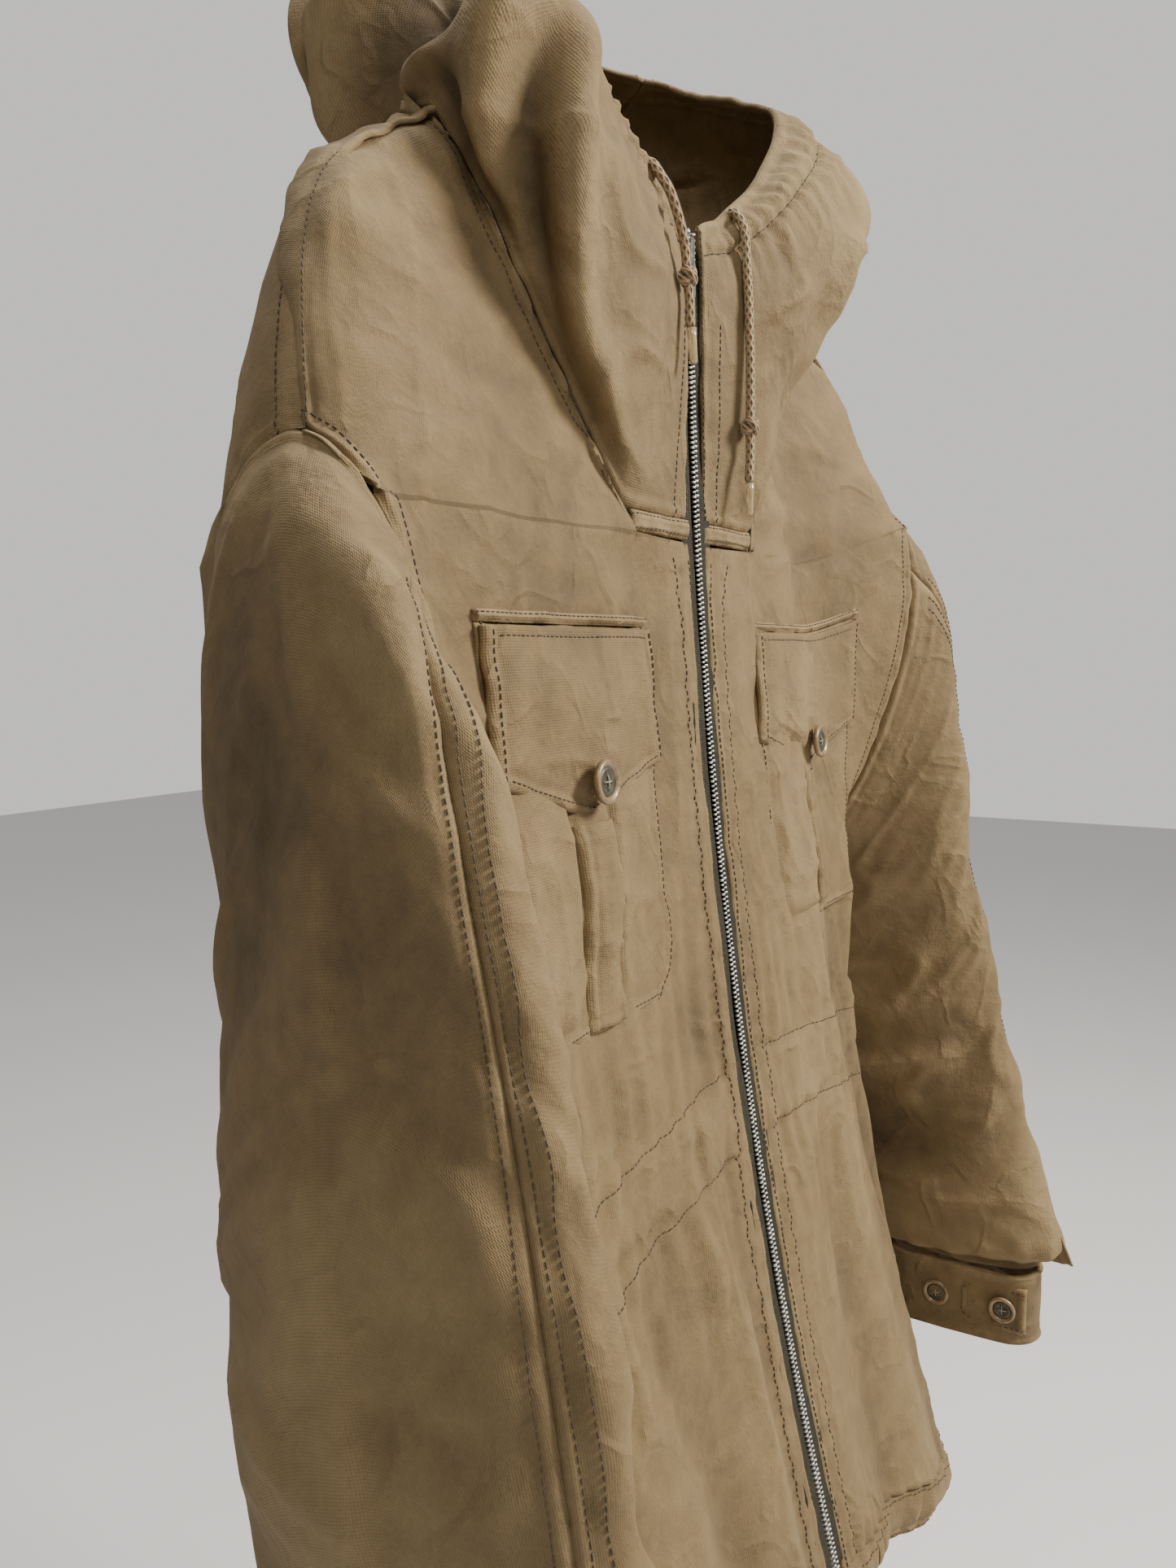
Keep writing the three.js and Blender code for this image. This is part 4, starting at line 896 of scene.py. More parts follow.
print("hood", left.shape, crown.shape)

# %% [markdown]
# The sleeves are cut in two leaves that meet on a line down the outer face. They hang slack, so
# they carry the coat's strongest creases: short sharp ridges inside the elbow, long ones down the
# outer face and gathers above the cuff.

# %% The sleeves
SLEEVE_ROWS, SLEEVE_COLS = 168, 62


def sleeve_relief(P, angle, t, sign):
    down = t[:, None]
    flat = np.stack([angle[None, :] * 0.05 + 0 * down, down * 0.56 + 0 * angle[None, :]], -1)
    tilt = flat @ np.array([[0.94, 0.34], [-0.34, 0.94]])
    cross = flat @ np.array([[0.80, -0.60], [0.60, 0.80]])
    broad = noise(flat * (1, 0.7), 0.075, 111 + sign) * 0.0052
    hollows = noise(tilt * (1.0, 1.6), 0.040, 113 + sign) * 0.0022
    ridge = crumple(tilt * (1.0, 1.9), 0.062, 115 + sign, 1.1) * 0.0042
    sharp = crumple(cross * (1.5, 0.8), 0.034, 119 + sign, 1.2) * 0.0022
    small = noise(flat, 0.014, 123) * 0.0005
    elbow = 0.6 + 0.7 * bell(down, 0.50, 0.20)
    cuff = ease(0.80, 0.97, down)
    gathers = np.sin(angle[None, :] * 17 + noise(flat, 0.07, 125) * 2.0) * 0.0022 * cuff
    cap = ease(0.0, 0.10, down)
    cap_gathers = np.sin(angle[None, :] * 17 + 1) * 0.0009 * bell(down, 0, 0.05)
    puff = 0.006 * bell(down, 0.90, 0.06)
    forward = 0.009 * bell(angle[None, :], 1.7, 0.8) * ease(0.05, 0.3, down) * ease(1.0, 0.85, down)
    if sign < 0:
        round_back = bell(np.mod(angle[None, :] + 0.6 + math.pi, 2 * math.pi), math.pi, 0.95)
        forward = forward + round_back * (0.017 * ease(0.45, 0.85, down) - 0.009 * bell(down, 0.27, 0.13))
    shape = ((broad + hollows + ridge + sharp) * elbow * (1 - 0.6 * cuff) + puff + forward) * cap
    return shape + small + gathers + cap_gathers


for sign, name in SIDES:
    for leaf, start, stop in (("front", SLEEVE_SEAM, SLEEVE_SEAM + math.pi),
                              ("back", SLEEVE_SEAM + math.pi, SLEEVE_SEAM + 2 * math.pi)):
        angle = np.linspace(start, stop, SLEEVE_COLS)
        t = np.linspace(0.0, 0.998, SLEEVE_ROWS)
        P = flip(sleeve(angle, t), sign)
        relief = softened(sleeve_relief(P, np.mod(angle, 2 * math.pi), t, sign), 3)
        obj, face = panel(f"sleeve {leaf} {name}", P, (0, -1 if leaf == "front" else 1, 0), "blend",
                          relief=relief, seed=131 + sign,
                          tuck=(("top", 0.004, 0.012), ("bottom", 0.006, 0.001)))
        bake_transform(obj)
        declare(obj, f"sleeve_{leaf}_{name}")
        body = f"sleeve_{name}"
        stitch(body, inset(face, "left" if leaf == "front" else "right", 0.007, 0.06, 0.99))
        if leaf == "front":
            stitch(body, inset(face, "left", 0.0155, 0.06, 0.99))
print("sleeves", P.shape)

# %% [markdown]
# The cuff is a flat band sewn to the gathered sleeve end. A tab with a rounded point wraps it and
# is held by a button. The hem is a turned-up channel, puffed between its stitches.

# %% Cuffs and tabs
TAB_LIFT, TAB_COLS, TAB_ROWS = 0.0013, 26, 16


def ring(z_values, grow, count=112):
    straight = CUFF_HALF_Y - CUFF_HALF_X
    half = CUFF_HALF_X - 0.0005 + grow
    around = np.linspace(0, 2 * math.pi, count)
    x = half * np.cos(around)
    y = half * np.sin(around) + np.sign(np.sin(around)) * straight * np.minimum(1, np.abs(np.sin(around)) * 6)
    return stack(x[None, :] + CUFF_X, y[None, :] + CUFF_Y, np.asarray(z_values)[:, None])


for sign, name in SIDES:
    P = flip(ring(np.linspace(CUFF_TOP - 0.0005, CUFF_FOOT, 20), 0.0), sign)
    waves = noise(P, 0.03, 141 + sign) * 0.0009
    obj, face = panel(f"cuff {name}", P, (sign, 0, 0), f"sleeve_{name}", relief=waves, edges=("top", "bottom"),
                      seed=143, thick=0.0040, material=band_material)
    declare(obj, f"cuff_{name}")
    for distance in (0.004, CUFF_TOP - CUFF_FOOT - 0.004):
        stitch(f"sleeve_{name}", inset(face, "top", distance))
    low, high = (Vector(v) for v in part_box(f"cuff_tab_{name}"))
    near, far = (low.x, high.x) if sign > 0 else (high.x, low.x)
    cols = np.linspace(0, 1, TAB_COLS)
    pinch = 1 - 0.55 * np.clip((np.abs(cols - 0.5) - 0.33) / 0.17, 0, 1) ** 2 * (cols > 0.5)
    half = (high.z - low.z) / 2 * pinch
    across = np.linspace(-1, 1, TAB_ROWS)[:, None]
    P = stack(mix(near, far, 0.5) + 0 * across * cols, mix(low.y, high.y, cols)[None, :],
              (low.z + high.z) / 2 - across * half[None, :]) - (sign * TAB_LIFT, 0, 0)
    obj, face = panel(f"cuff tab {name}", P, (-sign, 0, 0), f"tab_{name}", relief=noise(P, 0.02, 145) * 0.0006,
                      seed=147, thick=0.0026, material=band_material)
    stand_for(obj, f"cuff_tab_{name}")
    for edge in ("top", "bottom", "right"):
        stitch(f"tab_{name}", inset(face, edge, 0.004, 0.05, 0.95))
print("cuffs and tabs done")

# %% The hem
def hem_band(top, sign, side, name, node, seed):
    t = np.linspace(0, 1, 18)[:, None, None]
    pull = 1 - 0.035 * t * t
    P = top[None] * np.concatenate([pull, pull, np.ones_like(pull)], -1)
    P = P - np.array([0, 0, 1.0]) * (0.0004 + HEM_HEIGHT * t)
    x = np.abs(P[..., 0])
    puff = 0.0042 * np.sin(np.pi * np.clip(t[..., 0], 0, 1)) ** 0.7
    pinch = np.sin(x * 430 + noise(P, 0.03, seed) * 2.6) * 0.0012 * np.sin(np.pi * t[..., 0])
    wave = noise(P * (1, 1, 0.3), 0.055, seed + 1) * 0.0030
    line = np.minimum(x, 0.02) / 0.02
    obj, face = panel(name, P, (0, side, 0), None, relief=(puff + pinch + wave) * line, edges=("bottom",),
                      seed=seed, thick=0.0032, material=band_material, tuck=(("top", 0.0025, 0.005),))
    declare(obj, node)
    stitch("coat", inset(face, "top", 0.0035))
    stitch("coat", inset(face, "bottom", 0.0050))


for sign, name in SIDES:
    hem_band(front_feet[name], sign, -1, f"hem band {name}", f"hem_band_{name}", 151 + sign)
hem_band(back_face[-1], 1, 1, "hem band back", "hem_band_back", 157)
print("hem done")

# %% Chest bands and facings
def front_strip(x0, x1, z0, z1, columns, rows, lift):
    """A grid laid over the front between two x's and two heights, lifted off it by lift."""
    x = np.linspace(x0, x1, columns)[None, :]
    z = np.linspace(z0, z1, rows)[:, None]
    P = front(x + 0 * z, z + 0 * x)
    return P - np.array([0, 1.0, 0]) * lift


for sign, name in SIDES:
    P = front_strip(ZIP_SLOT, BAND_HALF, YOKE_Z + BAND_HEIGHT - 0.0004, YOKE_Z + 0.0002, 40, 12, 0.0008)
    P = flip(P, sign)
    obj, face = panel(f"chest band {name}", P, (0, -1, 0), None, seed=163, thick=0.0026, material=band_material,
                      relief=noise(P * (2, 1, 1), 0.012, 161) * 0.0008)
    declare(obj, f"chest_band_{name}")
    for distance in (0.002, 0.009):
        stitch("coat", inset(face, "top", distance))
    P = flip(front_strip(ZIP_SLOT, ZIP_SLOT + 0.036, -0.020, HEM_Z + 0.002, 8, 90, -0.0110), sign)
    obj, _ = panel(f"zip facing {name}", P, (0, 1, 0), None, seed=165, thick=0.0010, material=lining_material)
    declare(obj, f"zip_facing_{name}")
print("bands and facings done")

# %% [markdown]
# The chest pockets are patches with a box pleat down the middle and a five-sided flap on a button.
# The flap is its own piece and hinges on its top stitches.

# %% Pockets, pleats, welts and flaps
POCKET_IN, POCKET_WIDTH, POCKET_TOP, POCKET_HEIGHT = 0.065, 0.139, -0.207, 0.178
FLAP_SIDE, FLAP_TIP = 0.063, 0.083
POCKET_MIDDLE = POCKET_IN + POCKET_WIDTH / 2
FLAP_TOP = joints["flap_lift_left"]["pos_m"][2]
FLAP_FACE = joints["flap_lift_left"]["pos_m"][1]
POCKET_ROWS, POCKET_COLS, PLEAT_ROWS = 84, 72, 60
for sign, name in SIDES:
    s, t = np.linspace(0, 1, POCKET_COLS)[None, :], np.linspace(0, 1, POCKET_ROWS)[:, None]
    z = mix(POCKET_TOP, POCKET_TOP - POCKET_HEIGHT, t) + 0 * s
    cut = 0.016 * ease(0.9, 1, t)
    P = flip(front(mix(POCKET_IN + cut, POCKET_IN + POCKET_WIDTH, s), z) - (0, 0.0006, 0), sign)
    mid = np.abs(s - 0.5) * POCKET_WIDTH
    bulge = 0.0050 * np.sin(np.pi * s) ** 0.5 * np.sin(np.pi * np.clip(t * 0.9 + 0.1, 0, 1)) ** 0.6
    under = drape(P, sign, -1)
    relief = under + bulge + noise(P, 0.045, 171 + sign) * 0.0018
    relief = relief + crumple(P * (1, 1, 0.6), 0.035, 173 + sign) * 0.0016
    relief = relief - 0.0035 * bell(mid, 0.0150, 0.0022) * ease(0.0, 0.25, t)
    obj, face = panel(f"pocket {name}", P, (0, -1, 0), None, relief=relief, seed=175, thick=0.0022)
    declare(obj, f"pocket_{name}")
    stitch("coat", inset(face, "bottom", 0.004))
    stitch("coat", inset(face, "left", 0.004))
    stitch("coat", inset(face, "right", 0.004))
    u = np.linspace(0, 1, 24)[None, :]
    pleat_x = POCKET_MIDDLE + (u - 0.5) * 0.030
    pleat_top = middle_of("pocket_button_right").z - 0.018
    along = np.linspace(pleat_top, POCKET_TOP - POCKET_HEIGHT + 0.002, PLEAT_ROWS)[:, None]
    column = np.interp(along[:, 0], z[::-1, 0], np.arange(POCKET_ROWS)[::-1])
    row_i = np.clip(np.round(column).astype(int), 0, POCKET_ROWS - 1)
    place = np.interp(pleat_x[0], mix(POCKET_IN, POCKET_IN + POCKET_WIDTH, s[0]), np.arange(POCKET_COLS))
    col_i = np.clip(np.round(place).astype(int), 0, POCKET_COLS - 1)
    grid_z, grid_x = np.meshgrid(row_i, col_i, indexing="ij")
    below = face[grid_z, grid_x]
    P = flip(stack(pleat_x + 0 * along, 0 * pleat_x + 0 * along, along + 0 * pleat_x), sign)
    P[..., 1] = smoothed(below[..., 1].T, np.ones(7) / 7).T - 0.0010
    obj, _ = panel(f"pocket pleat {name}", P, (0, -1, 0), None, seed=177, edges=("left", "right"), thick=0.0016,
                            relief=0.0012 * np.sin(np.pi * u) ** 0.4 + noise(P, 0.02, 179) * 0.0006)
    declare(obj, f"pocket_pleat_{name}")

    P = flip(front_strip(POCKET_IN - 0.001, POCKET_IN + POCKET_WIDTH, POCKET_TOP + 0.0055, POCKET_TOP + 0.0003,
                         POCKET_COLS, 8, 0.0016), sign)
    obj, face = panel(f"flap welt {name}", P, (0, -1, 0), None, relief=drape(P, sign, -1) + 0.0012, seed=181,
                      edges=("top", "bottom"), thick=0.0034, material=band_material)
    stand_for(obj, f"flap_welt_{name}")
    stitch("coat", inset(face, "top", 0.0016))

    s = np.linspace(-1, 1, 74)[None, :]
    foot = mix(FLAP_TIP, FLAP_SIDE, np.abs(s))
    t = np.linspace(0, 1, 46)[:, None]
    across = s * POCKET_WIDTH / 2 * (1 - 0.006 * np.sin(np.pi * t))
    down = foot * t
    z = FLAP_TOP - down + 0 * s
    flat_y = FLAP_FACE + 0.0004 - (FLAP_TOP - z) * 0.0766
    P = flip(stack(POCKET_MIDDLE + across, flat_y, z), sign)
    on_cloth = drape(P, sign, -1)
    free = ease(0.0, 0.035, down) + 0 * s
    curl = 0.0046 * ease(0.55, 1.0, np.abs(s)) * t - 0.0010 * np.cos(s * 9) * t
    curl = curl + 0.0052 * bell(s, 0, 0.5) * np.sin(np.pi * t) * (t > 0)
    relief = on_cloth * mix(1.0, 0.55, free) + 0.0020 + curl
    relief = relief + noise(P, 0.05, 183 + sign) * 0.0020 + crumple(P, 0.04, 185 + sign) * 0.0016
    relief = np.maximum(relief, on_cloth * 0.8 + 0.0030)
    obj, face = panel(f"pocket flap {name}", P, (0, -1, 0), f"flap_{name}", relief=relief, seed=187,
                      edges=("left", "right", "bottom"), thick=0.0026)
    declare(obj, f"pocket_flap_{name}", held="laid")
    for edge, distance in (("left", 0.005), ("right", 0.005), ("bottom", 0.005), ("top", 0.004)):
        stitch(f"flap_{name}", inset(face, edge, distance, 0.06, 0.94))
print("pockets and flaps done")

# %% [markdown]
# Round and long trim. A turned shape is a ring of points per profile step; a tube is a ring carried
# along a line. Both are closed, so that each is one body.

# %% Turned shapes and tubes
def closed_rings(name, rings, finish, body=None):
    """One closed body from rings of points, capped at both ends."""
    name = name.replace(" ", "-")
    rings = np.array(rings, float)
    count, sides = rings.shape[:2]
    verts = [*rings.reshape(-1, 3), rings[0].mean(0), rings[-1].mean(0)]
    faces = []
    for i in range(count - 1):
        for j in range(sides):
            k = (j + 1) % sides
            faces.append((i * sides + j, i * sides + k, (i + 1) * sides + k, (i + 1) * sides + j))
    first, last = count * sides, count * sides + 1
    for j in range(sides):
        k = (j + 1) % sides
        faces += [(first, k, j), (last, (count - 1) * sides + j, (count - 1) * sides + k)]
    mesh = bpy.data.meshes.new(name)
    mesh.from_pydata([tuple(v) for v in verts], [], faces)
    bm = bmesh.new()
    bm.from_mesh(mesh)
    bmesh.ops.recalc_face_normals(bm, faces=bm.faces)
    bm.to_mesh(mesh)
    bm.free()
    mesh.shade_smooth()
    along = np.concatenate([[0], np.cumsum(np.linalg.norm(np.diff(rings.mean(1), axis=0), axis=1))])
    layer = mesh.uv_layers.new(name="cloth")
    for loop in mesh.loops:
        i, j = divmod(min(loop.vertex_index, count * sides - 1), sides)
        layer.data[loop.index].uv = (j / sides, along[i])
    obj = bpy.data.objects.new(name, mesh)
    bpy.context.collection.objects.link(obj)
    mesh.materials.append(finish)
    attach(obj, body or "coat")
    return obj


def frames_along(points):
    P = np.array(points, float)
    T = np.gradient(P, axis=0)
    T /= np.linalg.norm(T, axis=1, keepdims=True)
    side = np.cross(T[0], (0.31, 0.87, 0.39))
    out = []
    for p, t in zip(P, T):
        side = side - t * (side @ t)
        side /= np.linalg.norm(side)
        out.append((p, side, np.cross(t, side)))
    return out


def tube(name, points, radius, finish, body=None, sides=12, squash=1.0):
    radius = np.broadcast_to(radius, (len(points),))
    turn = np.linspace(0, 2 * math.pi, sides, endpoint=False)
    rings = [[p + r * (np.cos(a) * u + squash * np.sin(a) * v) for a in turn]
             for (p, u, v), r in zip(frames_along(points), radius)]
    return closed_rings(name, rings, finish, body)


def turned(name, at, axis, profile, finish, body=None, sides=40):
    """A lathe shape: profile is (radius, height along axis)."""
    axis = Vector(axis).normalized()
    across = axis.orthogonal().normalized()
    up = axis.cross(across)
    rings = [[Vector(at) + axis * h + (across * math.cos(a) + up * math.sin(a)) * r
              for a in np.linspace(0, 2 * math.pi, sides, endpoint=False)] for r, h in profile]
    return closed_rings(name, rings, finish, body)


# %% [markdown]
# A button has a raised glossy rim, a dished darker face with four thread holes, and a cross of
# light thread through them.

# %% Buttons
POCKET_BUTTON_R, CUFF_BUTTON_R = 0.01025, 0.0095


def button(name, at, axis, r, body, node):
    axis = Vector(axis).normalized()
    rim = [(0.60, -0.0010), (0.93, -0.0008), (1.0, 0.0006), (0.97, 0.0018),
           (0.87, 0.0024), (0.75, 0.0021), (0.68, 0.0012), (0.62, 0.0006)]
    turned(f"{name} rim", at, axis, [(r * share, h) for share, h in rim], rim_material, body)
    dish = [(0.0005, 0.0000), (r * 0.56, 0.0000), (r * 0.64, 0.0010), (r * 0.62, 0.0014), (r * 0.45, 0.0010),
            (0.0004, 0.0009)]
    face = turned(f"{name} face", at, axis, dish, face_material, body)
    across = axis.orthogonal().normalized()
    up = axis.cross(across)
    holes = [across * c * 0.0021 + up * s * 0.0021 for c, s in ((1, 1), (-1, 1), (-1, -1), (1, -1))]
    for i, offset in enumerate(holes):
        turned(f"{name} hole {i + 1}", Vector(at) + offset + axis * 0.0009, axis,
               [(0.0003, -0.0003), (0.0010, -0.0003), (0.0012, 0.0002), (0.0003, 0.00022)],
               thread_material, body, 12)
    for i in (0, 1):
        a, b = holes[i], holes[i + 2]
        points = [Vector(at) + a.lerp(b, k) + axis * (0.0010 + 0.0007 * math.sin(math.pi * k))
                  for k in np.linspace(0, 1, 7)]
        tube(f"{name} thread {i + 1}", points, 0.00042, button_thread_material, body, 6)
    turned(f"{name} shank", Vector(at) - axis * 0.0055, axis,
           [(0.0004, 0), (0.0022, 0.0002), (0.0022, 0.0050), (0.0004, 0.0052)],
           button_thread_material, body, 12)
    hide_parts(node)


lean = Vector((0, -1, 0.077)).normalized()
for sign, name in SIDES:
    centre = middle_of(f"pocket_button_{name}")
    surface = body_y(np.array(abs(centre.x)), np.array(centre.z), -1)
    button(f"pocket button {name}", (centre.x, float(surface) - 0.0125, centre.z), lean, POCKET_BUTTON_R, None,
           f"pocket_button_{name}")
    for kind in ("cuff_button", "tab_button"):
        low, high = (Vector(v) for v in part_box(f"{kind}_{name}"))
        centre = middle_of(f"{kind}_{name}")
        inner_face = min(abs(low.x), abs(high.x))
        button(f"{kind.replace('_', ' ')} {name}", (sign * (inner_face + 0.0012), centre.y, centre.z),
               (-sign, 0, 0), CUFF_BUTTON_R, f"sleeve_{name}", f"{kind}_{name}")
print("buttons done")

# %% [markdown]
# The zip: two woven tapes, rows of aluminium teeth that interlock, a gunmetal slider and its pull.
# The teeth are one small shape repeated along each tape's edge by Geometry Nodes.

# %% Geometry Nodes repeats
def repeat(name, lines, shape, pitch, finish, body=None):
    """Copies of a small closed shape along lines, every pitch metres, as one plain mesh."""
    name = name.replace(" ", "-")
    data = bpy.data.curves.new(name + " lines", "CURVE")
    data.dimensions = "3D"
    for line in lines:
        spline = data.splines.new("POLY")
        spline.points.add(len(line) - 1)
        spline.points.foreach_set("co", np.concatenate([line, np.ones((len(line), 1))], 1).ravel())
    carrier = bpy.data.objects.new(name + " lines", data)
    bpy.context.collection.objects.link(carrier)
    tree = bpy.data.node_groups.new(name, "GeometryNodeTree")
    tree.interface.new_socket("Geometry", in_out="INPUT", socket_type="NodeSocketGeometry")
    pitch_socket = tree.interface.new_socket("Pitch", in_out="INPUT", socket_type="NodeSocketFloat")
    tree.interface.new_socket("Geometry", in_out="OUTPUT", socket_type="NodeSocketGeometry")
    nodes, links = tree.nodes, tree.links
    source, sink = nodes.new("NodeGroupInput"), nodes.new("NodeGroupOutput")
    points = nodes.new("GeometryNodeCurveToPoints")
    points.mode = "LENGTH"
    wobble = nodes.new("FunctionNodeRandomValue")
    wobble.inputs[2].default_value, wobble.inputs[3].default_value = 0.88, 1.10
    wobble.inputs["Seed"].default_value = 3
    thing = nodes.new("GeometryNodeObjectInfo")
    thing.inputs["Object"].default_value = shape
    copies = nodes.new("GeometryNodeInstanceOnPoints")
    real = nodes.new("GeometryNodeRealizeInstances")
    paint = nodes.new("GeometryNodeSetMaterial")
    paint.inputs["Material"].default_value = finish
    links.new(source.outputs["Geometry"], points.inputs["Curve"])
    links.new(source.outputs["Pitch"], points.inputs["Length"])
    links.new(points.outputs["Points"], copies.inputs["Points"])
    links.new(points.outputs["Rotation"], copies.inputs["Rotation"])
    links.new(wobble.outputs[1], copies.inputs["Scale"])
    links.new(thing.outputs["Geometry"], copies.inputs["Instance"])
    links.new(copies.outputs["Instances"], real.inputs["Geometry"])
    links.new(real.outputs["Geometry"], paint.inputs["Geometry"])
    links.new(paint.outputs["Geometry"], sink.inputs["Geometry"])
    modifier = carrier.modifiers.new("repeat", "NODES")
    modifier.node_group = tree
    modifier[pitch_socket.identifier] = pitch
    bpy.context.view_layer.update()
    mesh = bpy.data.meshes.new_from_object(carrier.evaluated_get(bpy.context.evaluated_depsgraph_get()))
    mesh.name = name
    obj = bpy.data.objects.new(name, mesh)
    bpy.context.collection.objects.link(obj)
    bpy.data.objects.remove(carrier)
    mesh.materials.clear()
    mesh.materials.append(finish)
    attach(obj, body or "coat")
    return obj


def small_shape(name, profile, sides, flat=1.0):
    turn = np.linspace(0, 2 * math.pi, sides, endpoint=False) + math.pi / sides
    rings = [[(r * math.cos(a), flat * r * math.sin(a), h) for a in turn] for r, h in profile]
    return closed_rings(name, rings, thread_material)


# %% Zip
def arc(x, z0, z1, count, lift):
    z = np.linspace(z0, z1, count)
    return stack(np.full(count, x), front_y(z) + lift, z)


TOOTH_PITCH = 0.00255
tooth = small_shape("tooth", [(0.0010, -0.00055), (0.00150, -0.00040), (0.00150, 0.00040), (0.0010, 0.00055)],
                    6, 0.9)
for sign, name in SIDES:
    s = np.linspace(0.0036, 0.0166, 8)[None, :]
    z = np.linspace(-0.009, -ZIP_LENGTH, 190)[:, None]
    P = flip(stack(s + 0 * z, front_y(z) + 0 * s + 0.0004, z + 0 * s), sign)
    tape, _ = panel(f"zip tape {name}", P, (0, -1, 0), None, edges=(), thick=0.0009, material=tape_material,
                    relief=noise(P * (1, 1, 0.4), 0.018, 191) * 0.0005)
    declare(tape, f"zip_tape_{name}")
    start = -0.0165 if sign > 0 else -0.0165 - TOOTH_PITCH / 2
    teeth = repeat(f"zip teeth {name}", [arc(sign * 0.00165, start, -ZIP_LENGTH + 0.002, 260, -0.0002)],
                   tooth, TOOTH_PITCH, teeth_material)
    repeat(f"zip teeth top {name}", [arc(sign * 0.0030, -0.0035, -0.0160, 12, -0.0002)],
           tooth, TOOTH_PITCH, teeth_material)
    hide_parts(f"zip_teeth_{name}")
bpy.data.objects.remove(tooth)
for node, finish in (("zip_bottom_box", gunmetal_material), ("zip_slider", gunmetal_material),
                     ("zip_pull", gunmetal_material), ("zip_top_stop_left", teeth_material),
                     ("zip_top_stop_right", teeth_material)):
    mesh = frame["nodes"][node].data
    mesh.materials.clear()
    mesh.materials.append(finish)
print("zip done")

# %% [markdown]
# A braided cord leaves the rim channel on each side, falls over the front, takes one knot and ends
# in a clear aglet.

# %% Drawcords
CORD_R, KNOT_LENGTH, AGLET_LENGTH = 0.0025, 0.009, 0.017
routes = {
    "left": [(40, -65.1, 18), (38.5, -68.9, 16), (37.5, -73, 10), (37, -75, 2), (37, -76, -12),
             (37.2, -77, -28), (37.5, -77.5, -44), (38, -78, -60), (38.5, -78, -76), (38.5, -78, -92)],
    "right": [(-40, -54.5, 19.5), (-41, -60, 17), (-41.5, -65, 10), (-40.5, -69, 3), (-38, -71.5, -6),
              (-35, -73, -15), (-32.5, -73.5, -23), (-32, -74, -31)],
}
for sign, name in SIDES:
    line = catmull(np.array(routes[name]) / 1000)(np.linspace(0, 1, 60))
    end, down = line[-1], (line[-1] - line[-2]) / np.linalg.norm(line[-1] - line[-2])
    tail = 0.026 if name == "left" else 0.020
    after = end + down * KNOT_LENGTH
    last = after + down * tail
    through_knot = [end + down * KNOT_LENGTH * k for k in (0.33, 0.66, 1.0)]
    below_knot = [after + down * tail * k + np.array([0.0006 * math.sin(k * 5), 0, 0])
                  for k in np.linspace(0.1, 1, 12)]
    path = np.concatenate([line, through_knot, below_knot])
    thickness = np.full(len(path), CORD_R)
    thickness[-1] = CORD_R * 0.7
    cord = tube(f"drawcord {name}", path, thickness, braid_material, None, 16)
    k = np.linspace(0, 2 * math.pi, 90)
    across = np.cross(down, (0, 1, 0))
    across /= np.linalg.norm(across)
    up = np.cross(across, down)
    middle = end + down * KNOT_LENGTH / 2
    loops = []
    for a in k:
        swell = 2 + np.cos(3 * a)
        loops.append(middle + 0.00135 * (swell * np.cos(2 * a) * across + 0.85 * swell * np.sin(2 * a) * up)
                     + down * np.sin(3 * a) * 0.0026)
    knot = tube(f"cord knot {name}", loops, 0.0022, braid_material, None, 12)
    profile = [(0.0006, -0.0005), (0.0026, 0.0), (0.0023, 0.004), (0.0020, AGLET_LENGTH - 0.001),
               (0.0014, AGLET_LENGTH), (0.0004, AGLET_LENGTH + 0.0001)]
    aglet = turned(f"cord aglet {name}", last, down, profile, aglet_material, None, 24)
    length = float(np.sum(np.linalg.norm(np.diff(path, axis=0), axis=1)))
    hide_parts(f"drawcord_{name}")
    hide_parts(f"cord_knot_{name}")
    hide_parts(f"cord_aglet_{name}")
print("drawcords done")

# %% [markdown]
# Inside the back of the neck a facing is sewn in with a hanging loop. Each sleeve has a small vent
# wing at its front edge.

# %% Neck facing, loop and vents
u = np.linspace(-1, 1, 80)
P = both_sides(upper_back(np.abs(u)[None, :] * 0.45, np.linspace(0.0, 0.40, 18)[:, None]), u) - (0, 0.0042, 0)
facing, _ = panel("neck facing", P, (0, -1, 0), None, relief=noise(P, 0.03, 201) * 0.0006, thick=0.0012,
                  seed=203, material=lining_material)
declare(facing, "neck_facing")
low, high = (Vector(v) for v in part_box("hanging_loop"))
t = np.linspace(0, 1, 40)
run = stack(mix(low.x, high.x, t), mix(high.y, low.y + 0.0008, np.sin(np.pi * t) ** 0.5), np.full(40, high.z))
P = np.stack([run - (0, 0, d) for d in np.linspace(0, high.z - low.z, 6)])
loop, _ = panel("hanging loop", P, (0, -1, 0), None, edges=(), thick=0.0011, material=tape_material)
stand_for(loop, "hanging_loop")
for sign, name in SIDES:
    low, high = (Vector(v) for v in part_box(f"sleeve_vent_{name}"))
    x = (low.x + high.x) / 2
    s, t = np.linspace(0, 1, 14)[None, :], np.linspace(0, 1, 40)[:, None]
    tip = mix(np.array([[-0.188, -0.562]]), np.array([[-0.226, -0.652]]), t)
    heel = mix(np.array([[-0.187, -0.562]]), np.array([[-0.207, -0.652]]), t)
    P = stack(x, mix(heel[:, :1], tip[:, :1], s), mix(heel[:, 1:], tip[:, 1:], s))
    obj, face = panel(f"sleeve vent {name}", P, (sign, 0, 0), f"sleeve_{name}", seed=209,
                      relief=noise(P, 0.02, 207) * 0.0008, edges=("right",), thick=0.0022)
    stand_for(obj, f"sleeve_vent_{name}")
    stitch(f"sleeve_{name}", inset(face, "right", 0.004))
print("neck facing, loop and vents done")

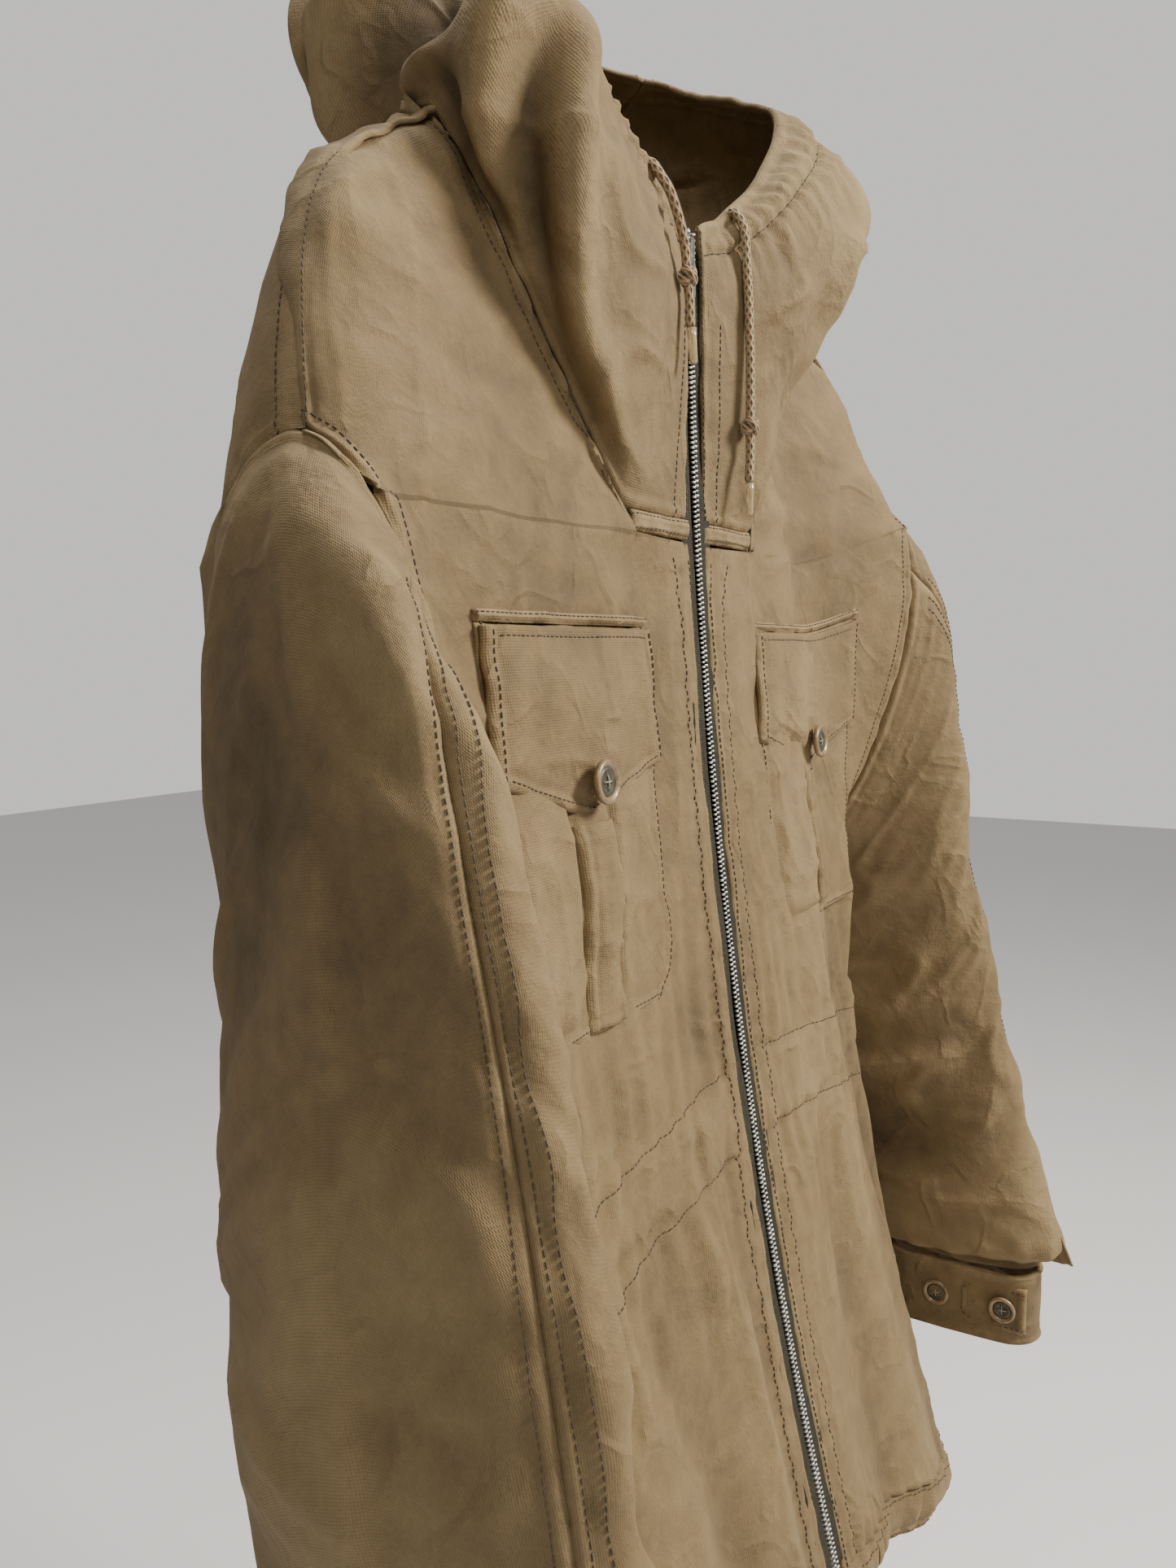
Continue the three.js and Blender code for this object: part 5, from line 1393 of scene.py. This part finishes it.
# %% [markdown]
# Topstitching is one tiny capsule repeated along every line noted so far, each set riding on the
# body whose cloth it sews.

# %% Stitches
STITCH_PITCH, LONGEST_SET = 0.0035, 14.0
capsule = small_shape("stitch", [(0.0001, -0.0012), (0.00031, -0.0009), (0.00031, 0.0009), (0.0001, 0.0012)], 4)
for body, lines in stitch_lines.items():
    sets, room = [[]], LONGEST_SET
    for line in lines:
        length = float(np.sum(np.linalg.norm(np.diff(line, axis=0), axis=1)))
        if length > room:
            sets.append([])
            room = LONGEST_SET
        sets[-1].append(line)
        room -= length
    for i, chosen in enumerate(sets):
        repeat(f"stitches {body} {i + 1}", chosen, capsule, STITCH_PITCH, thread_material,
               None if body == "coat" else body)
bpy.data.objects.remove(capsule)
print("stitches", {body: len(lines) for body, lines in stitch_lines.items()})

# %% [markdown]
# A pale floor well below the hem and soft light from high on the wearer's right, with a weaker
# light from the other side.

# %% Floor and light
floor_material, tree, shader = material("floor", 0.7, color=(0.70, 0.69, 0.67), Emission_Strength=0.30)
shader.inputs["Emission Color"].default_value = (0.80, 0.79, 0.77, 1)


def plane(name, at, size, turn=(0, 0, 0)):
    mesh = bpy.data.meshes.new(name)
    h = size / 2
    mesh.from_pydata([(-h, -h, 0), (h, -h, 0), (h, h, 0), (-h, h, 0)], [], [(0, 1, 2, 3)])
    obj = bpy.data.objects.new(name, mesh)
    bpy.context.collection.objects.link(obj)
    obj.location, obj.rotation_euler = at, turn
    mesh.materials.append(floor_material)
    return obj


plane("floor", (0, 0, -1.25), 14)


def soft_light(name, at, aim, size, power, color):
    data = bpy.data.lights.new(name, "AREA")
    data.size, data.energy, data.color = size, power, color
    lamp = bpy.data.objects.new(name, data)
    bpy.context.collection.objects.link(lamp)
    lamp.location = at
    lamp.rotation_euler = (Vector(aim) - Vector(at)).to_track_quat("-Z", "Y").to_euler()


soft_light("key", (0.7, -1.8, 1.0), (0.05, 0, -0.2), 0.7, 100, (1.0, 0.96, 0.88))
soft_light("fill", (-1.3, -1.2, 1.3), (-0.3, 0, -0.1), 0.8, 20, (1.0, 0.97, 0.93))
soft_light("top", (0.1, 0.3, 1.8), (0, 0, -0.1), 0.8, 34, (1.0, 0.98, 0.95))
world = bpy.data.worlds.new("studio")
bpy.context.scene.world = world
world.use_nodes = True
tree = world.node_tree
lit = tree.nodes["Background"]
lit.inputs["Color"].default_value, lit.inputs["Strength"].default_value = (0.80, 0.79, 0.77, 1), 0.24
seen = tree.nodes.new("ShaderNodeBackground")
seen.inputs["Color"].default_value, seen.inputs["Strength"].default_value = (0.80, 0.79, 0.77, 1), 0.95
ray, either = tree.nodes.new("ShaderNodeLightPath"), tree.nodes.new("ShaderNodeMixShader")
for source, target in ((ray.outputs["Is Camera Ray"], either.inputs[0]), (lit.outputs[0], either.inputs[1]),
                       (seen.outputs[0], either.inputs[2]),
                       (either.outputs[0], tree.nodes["World Output"].inputs[0])):
    tree.links.new(source, target)
print("floor and lights done")
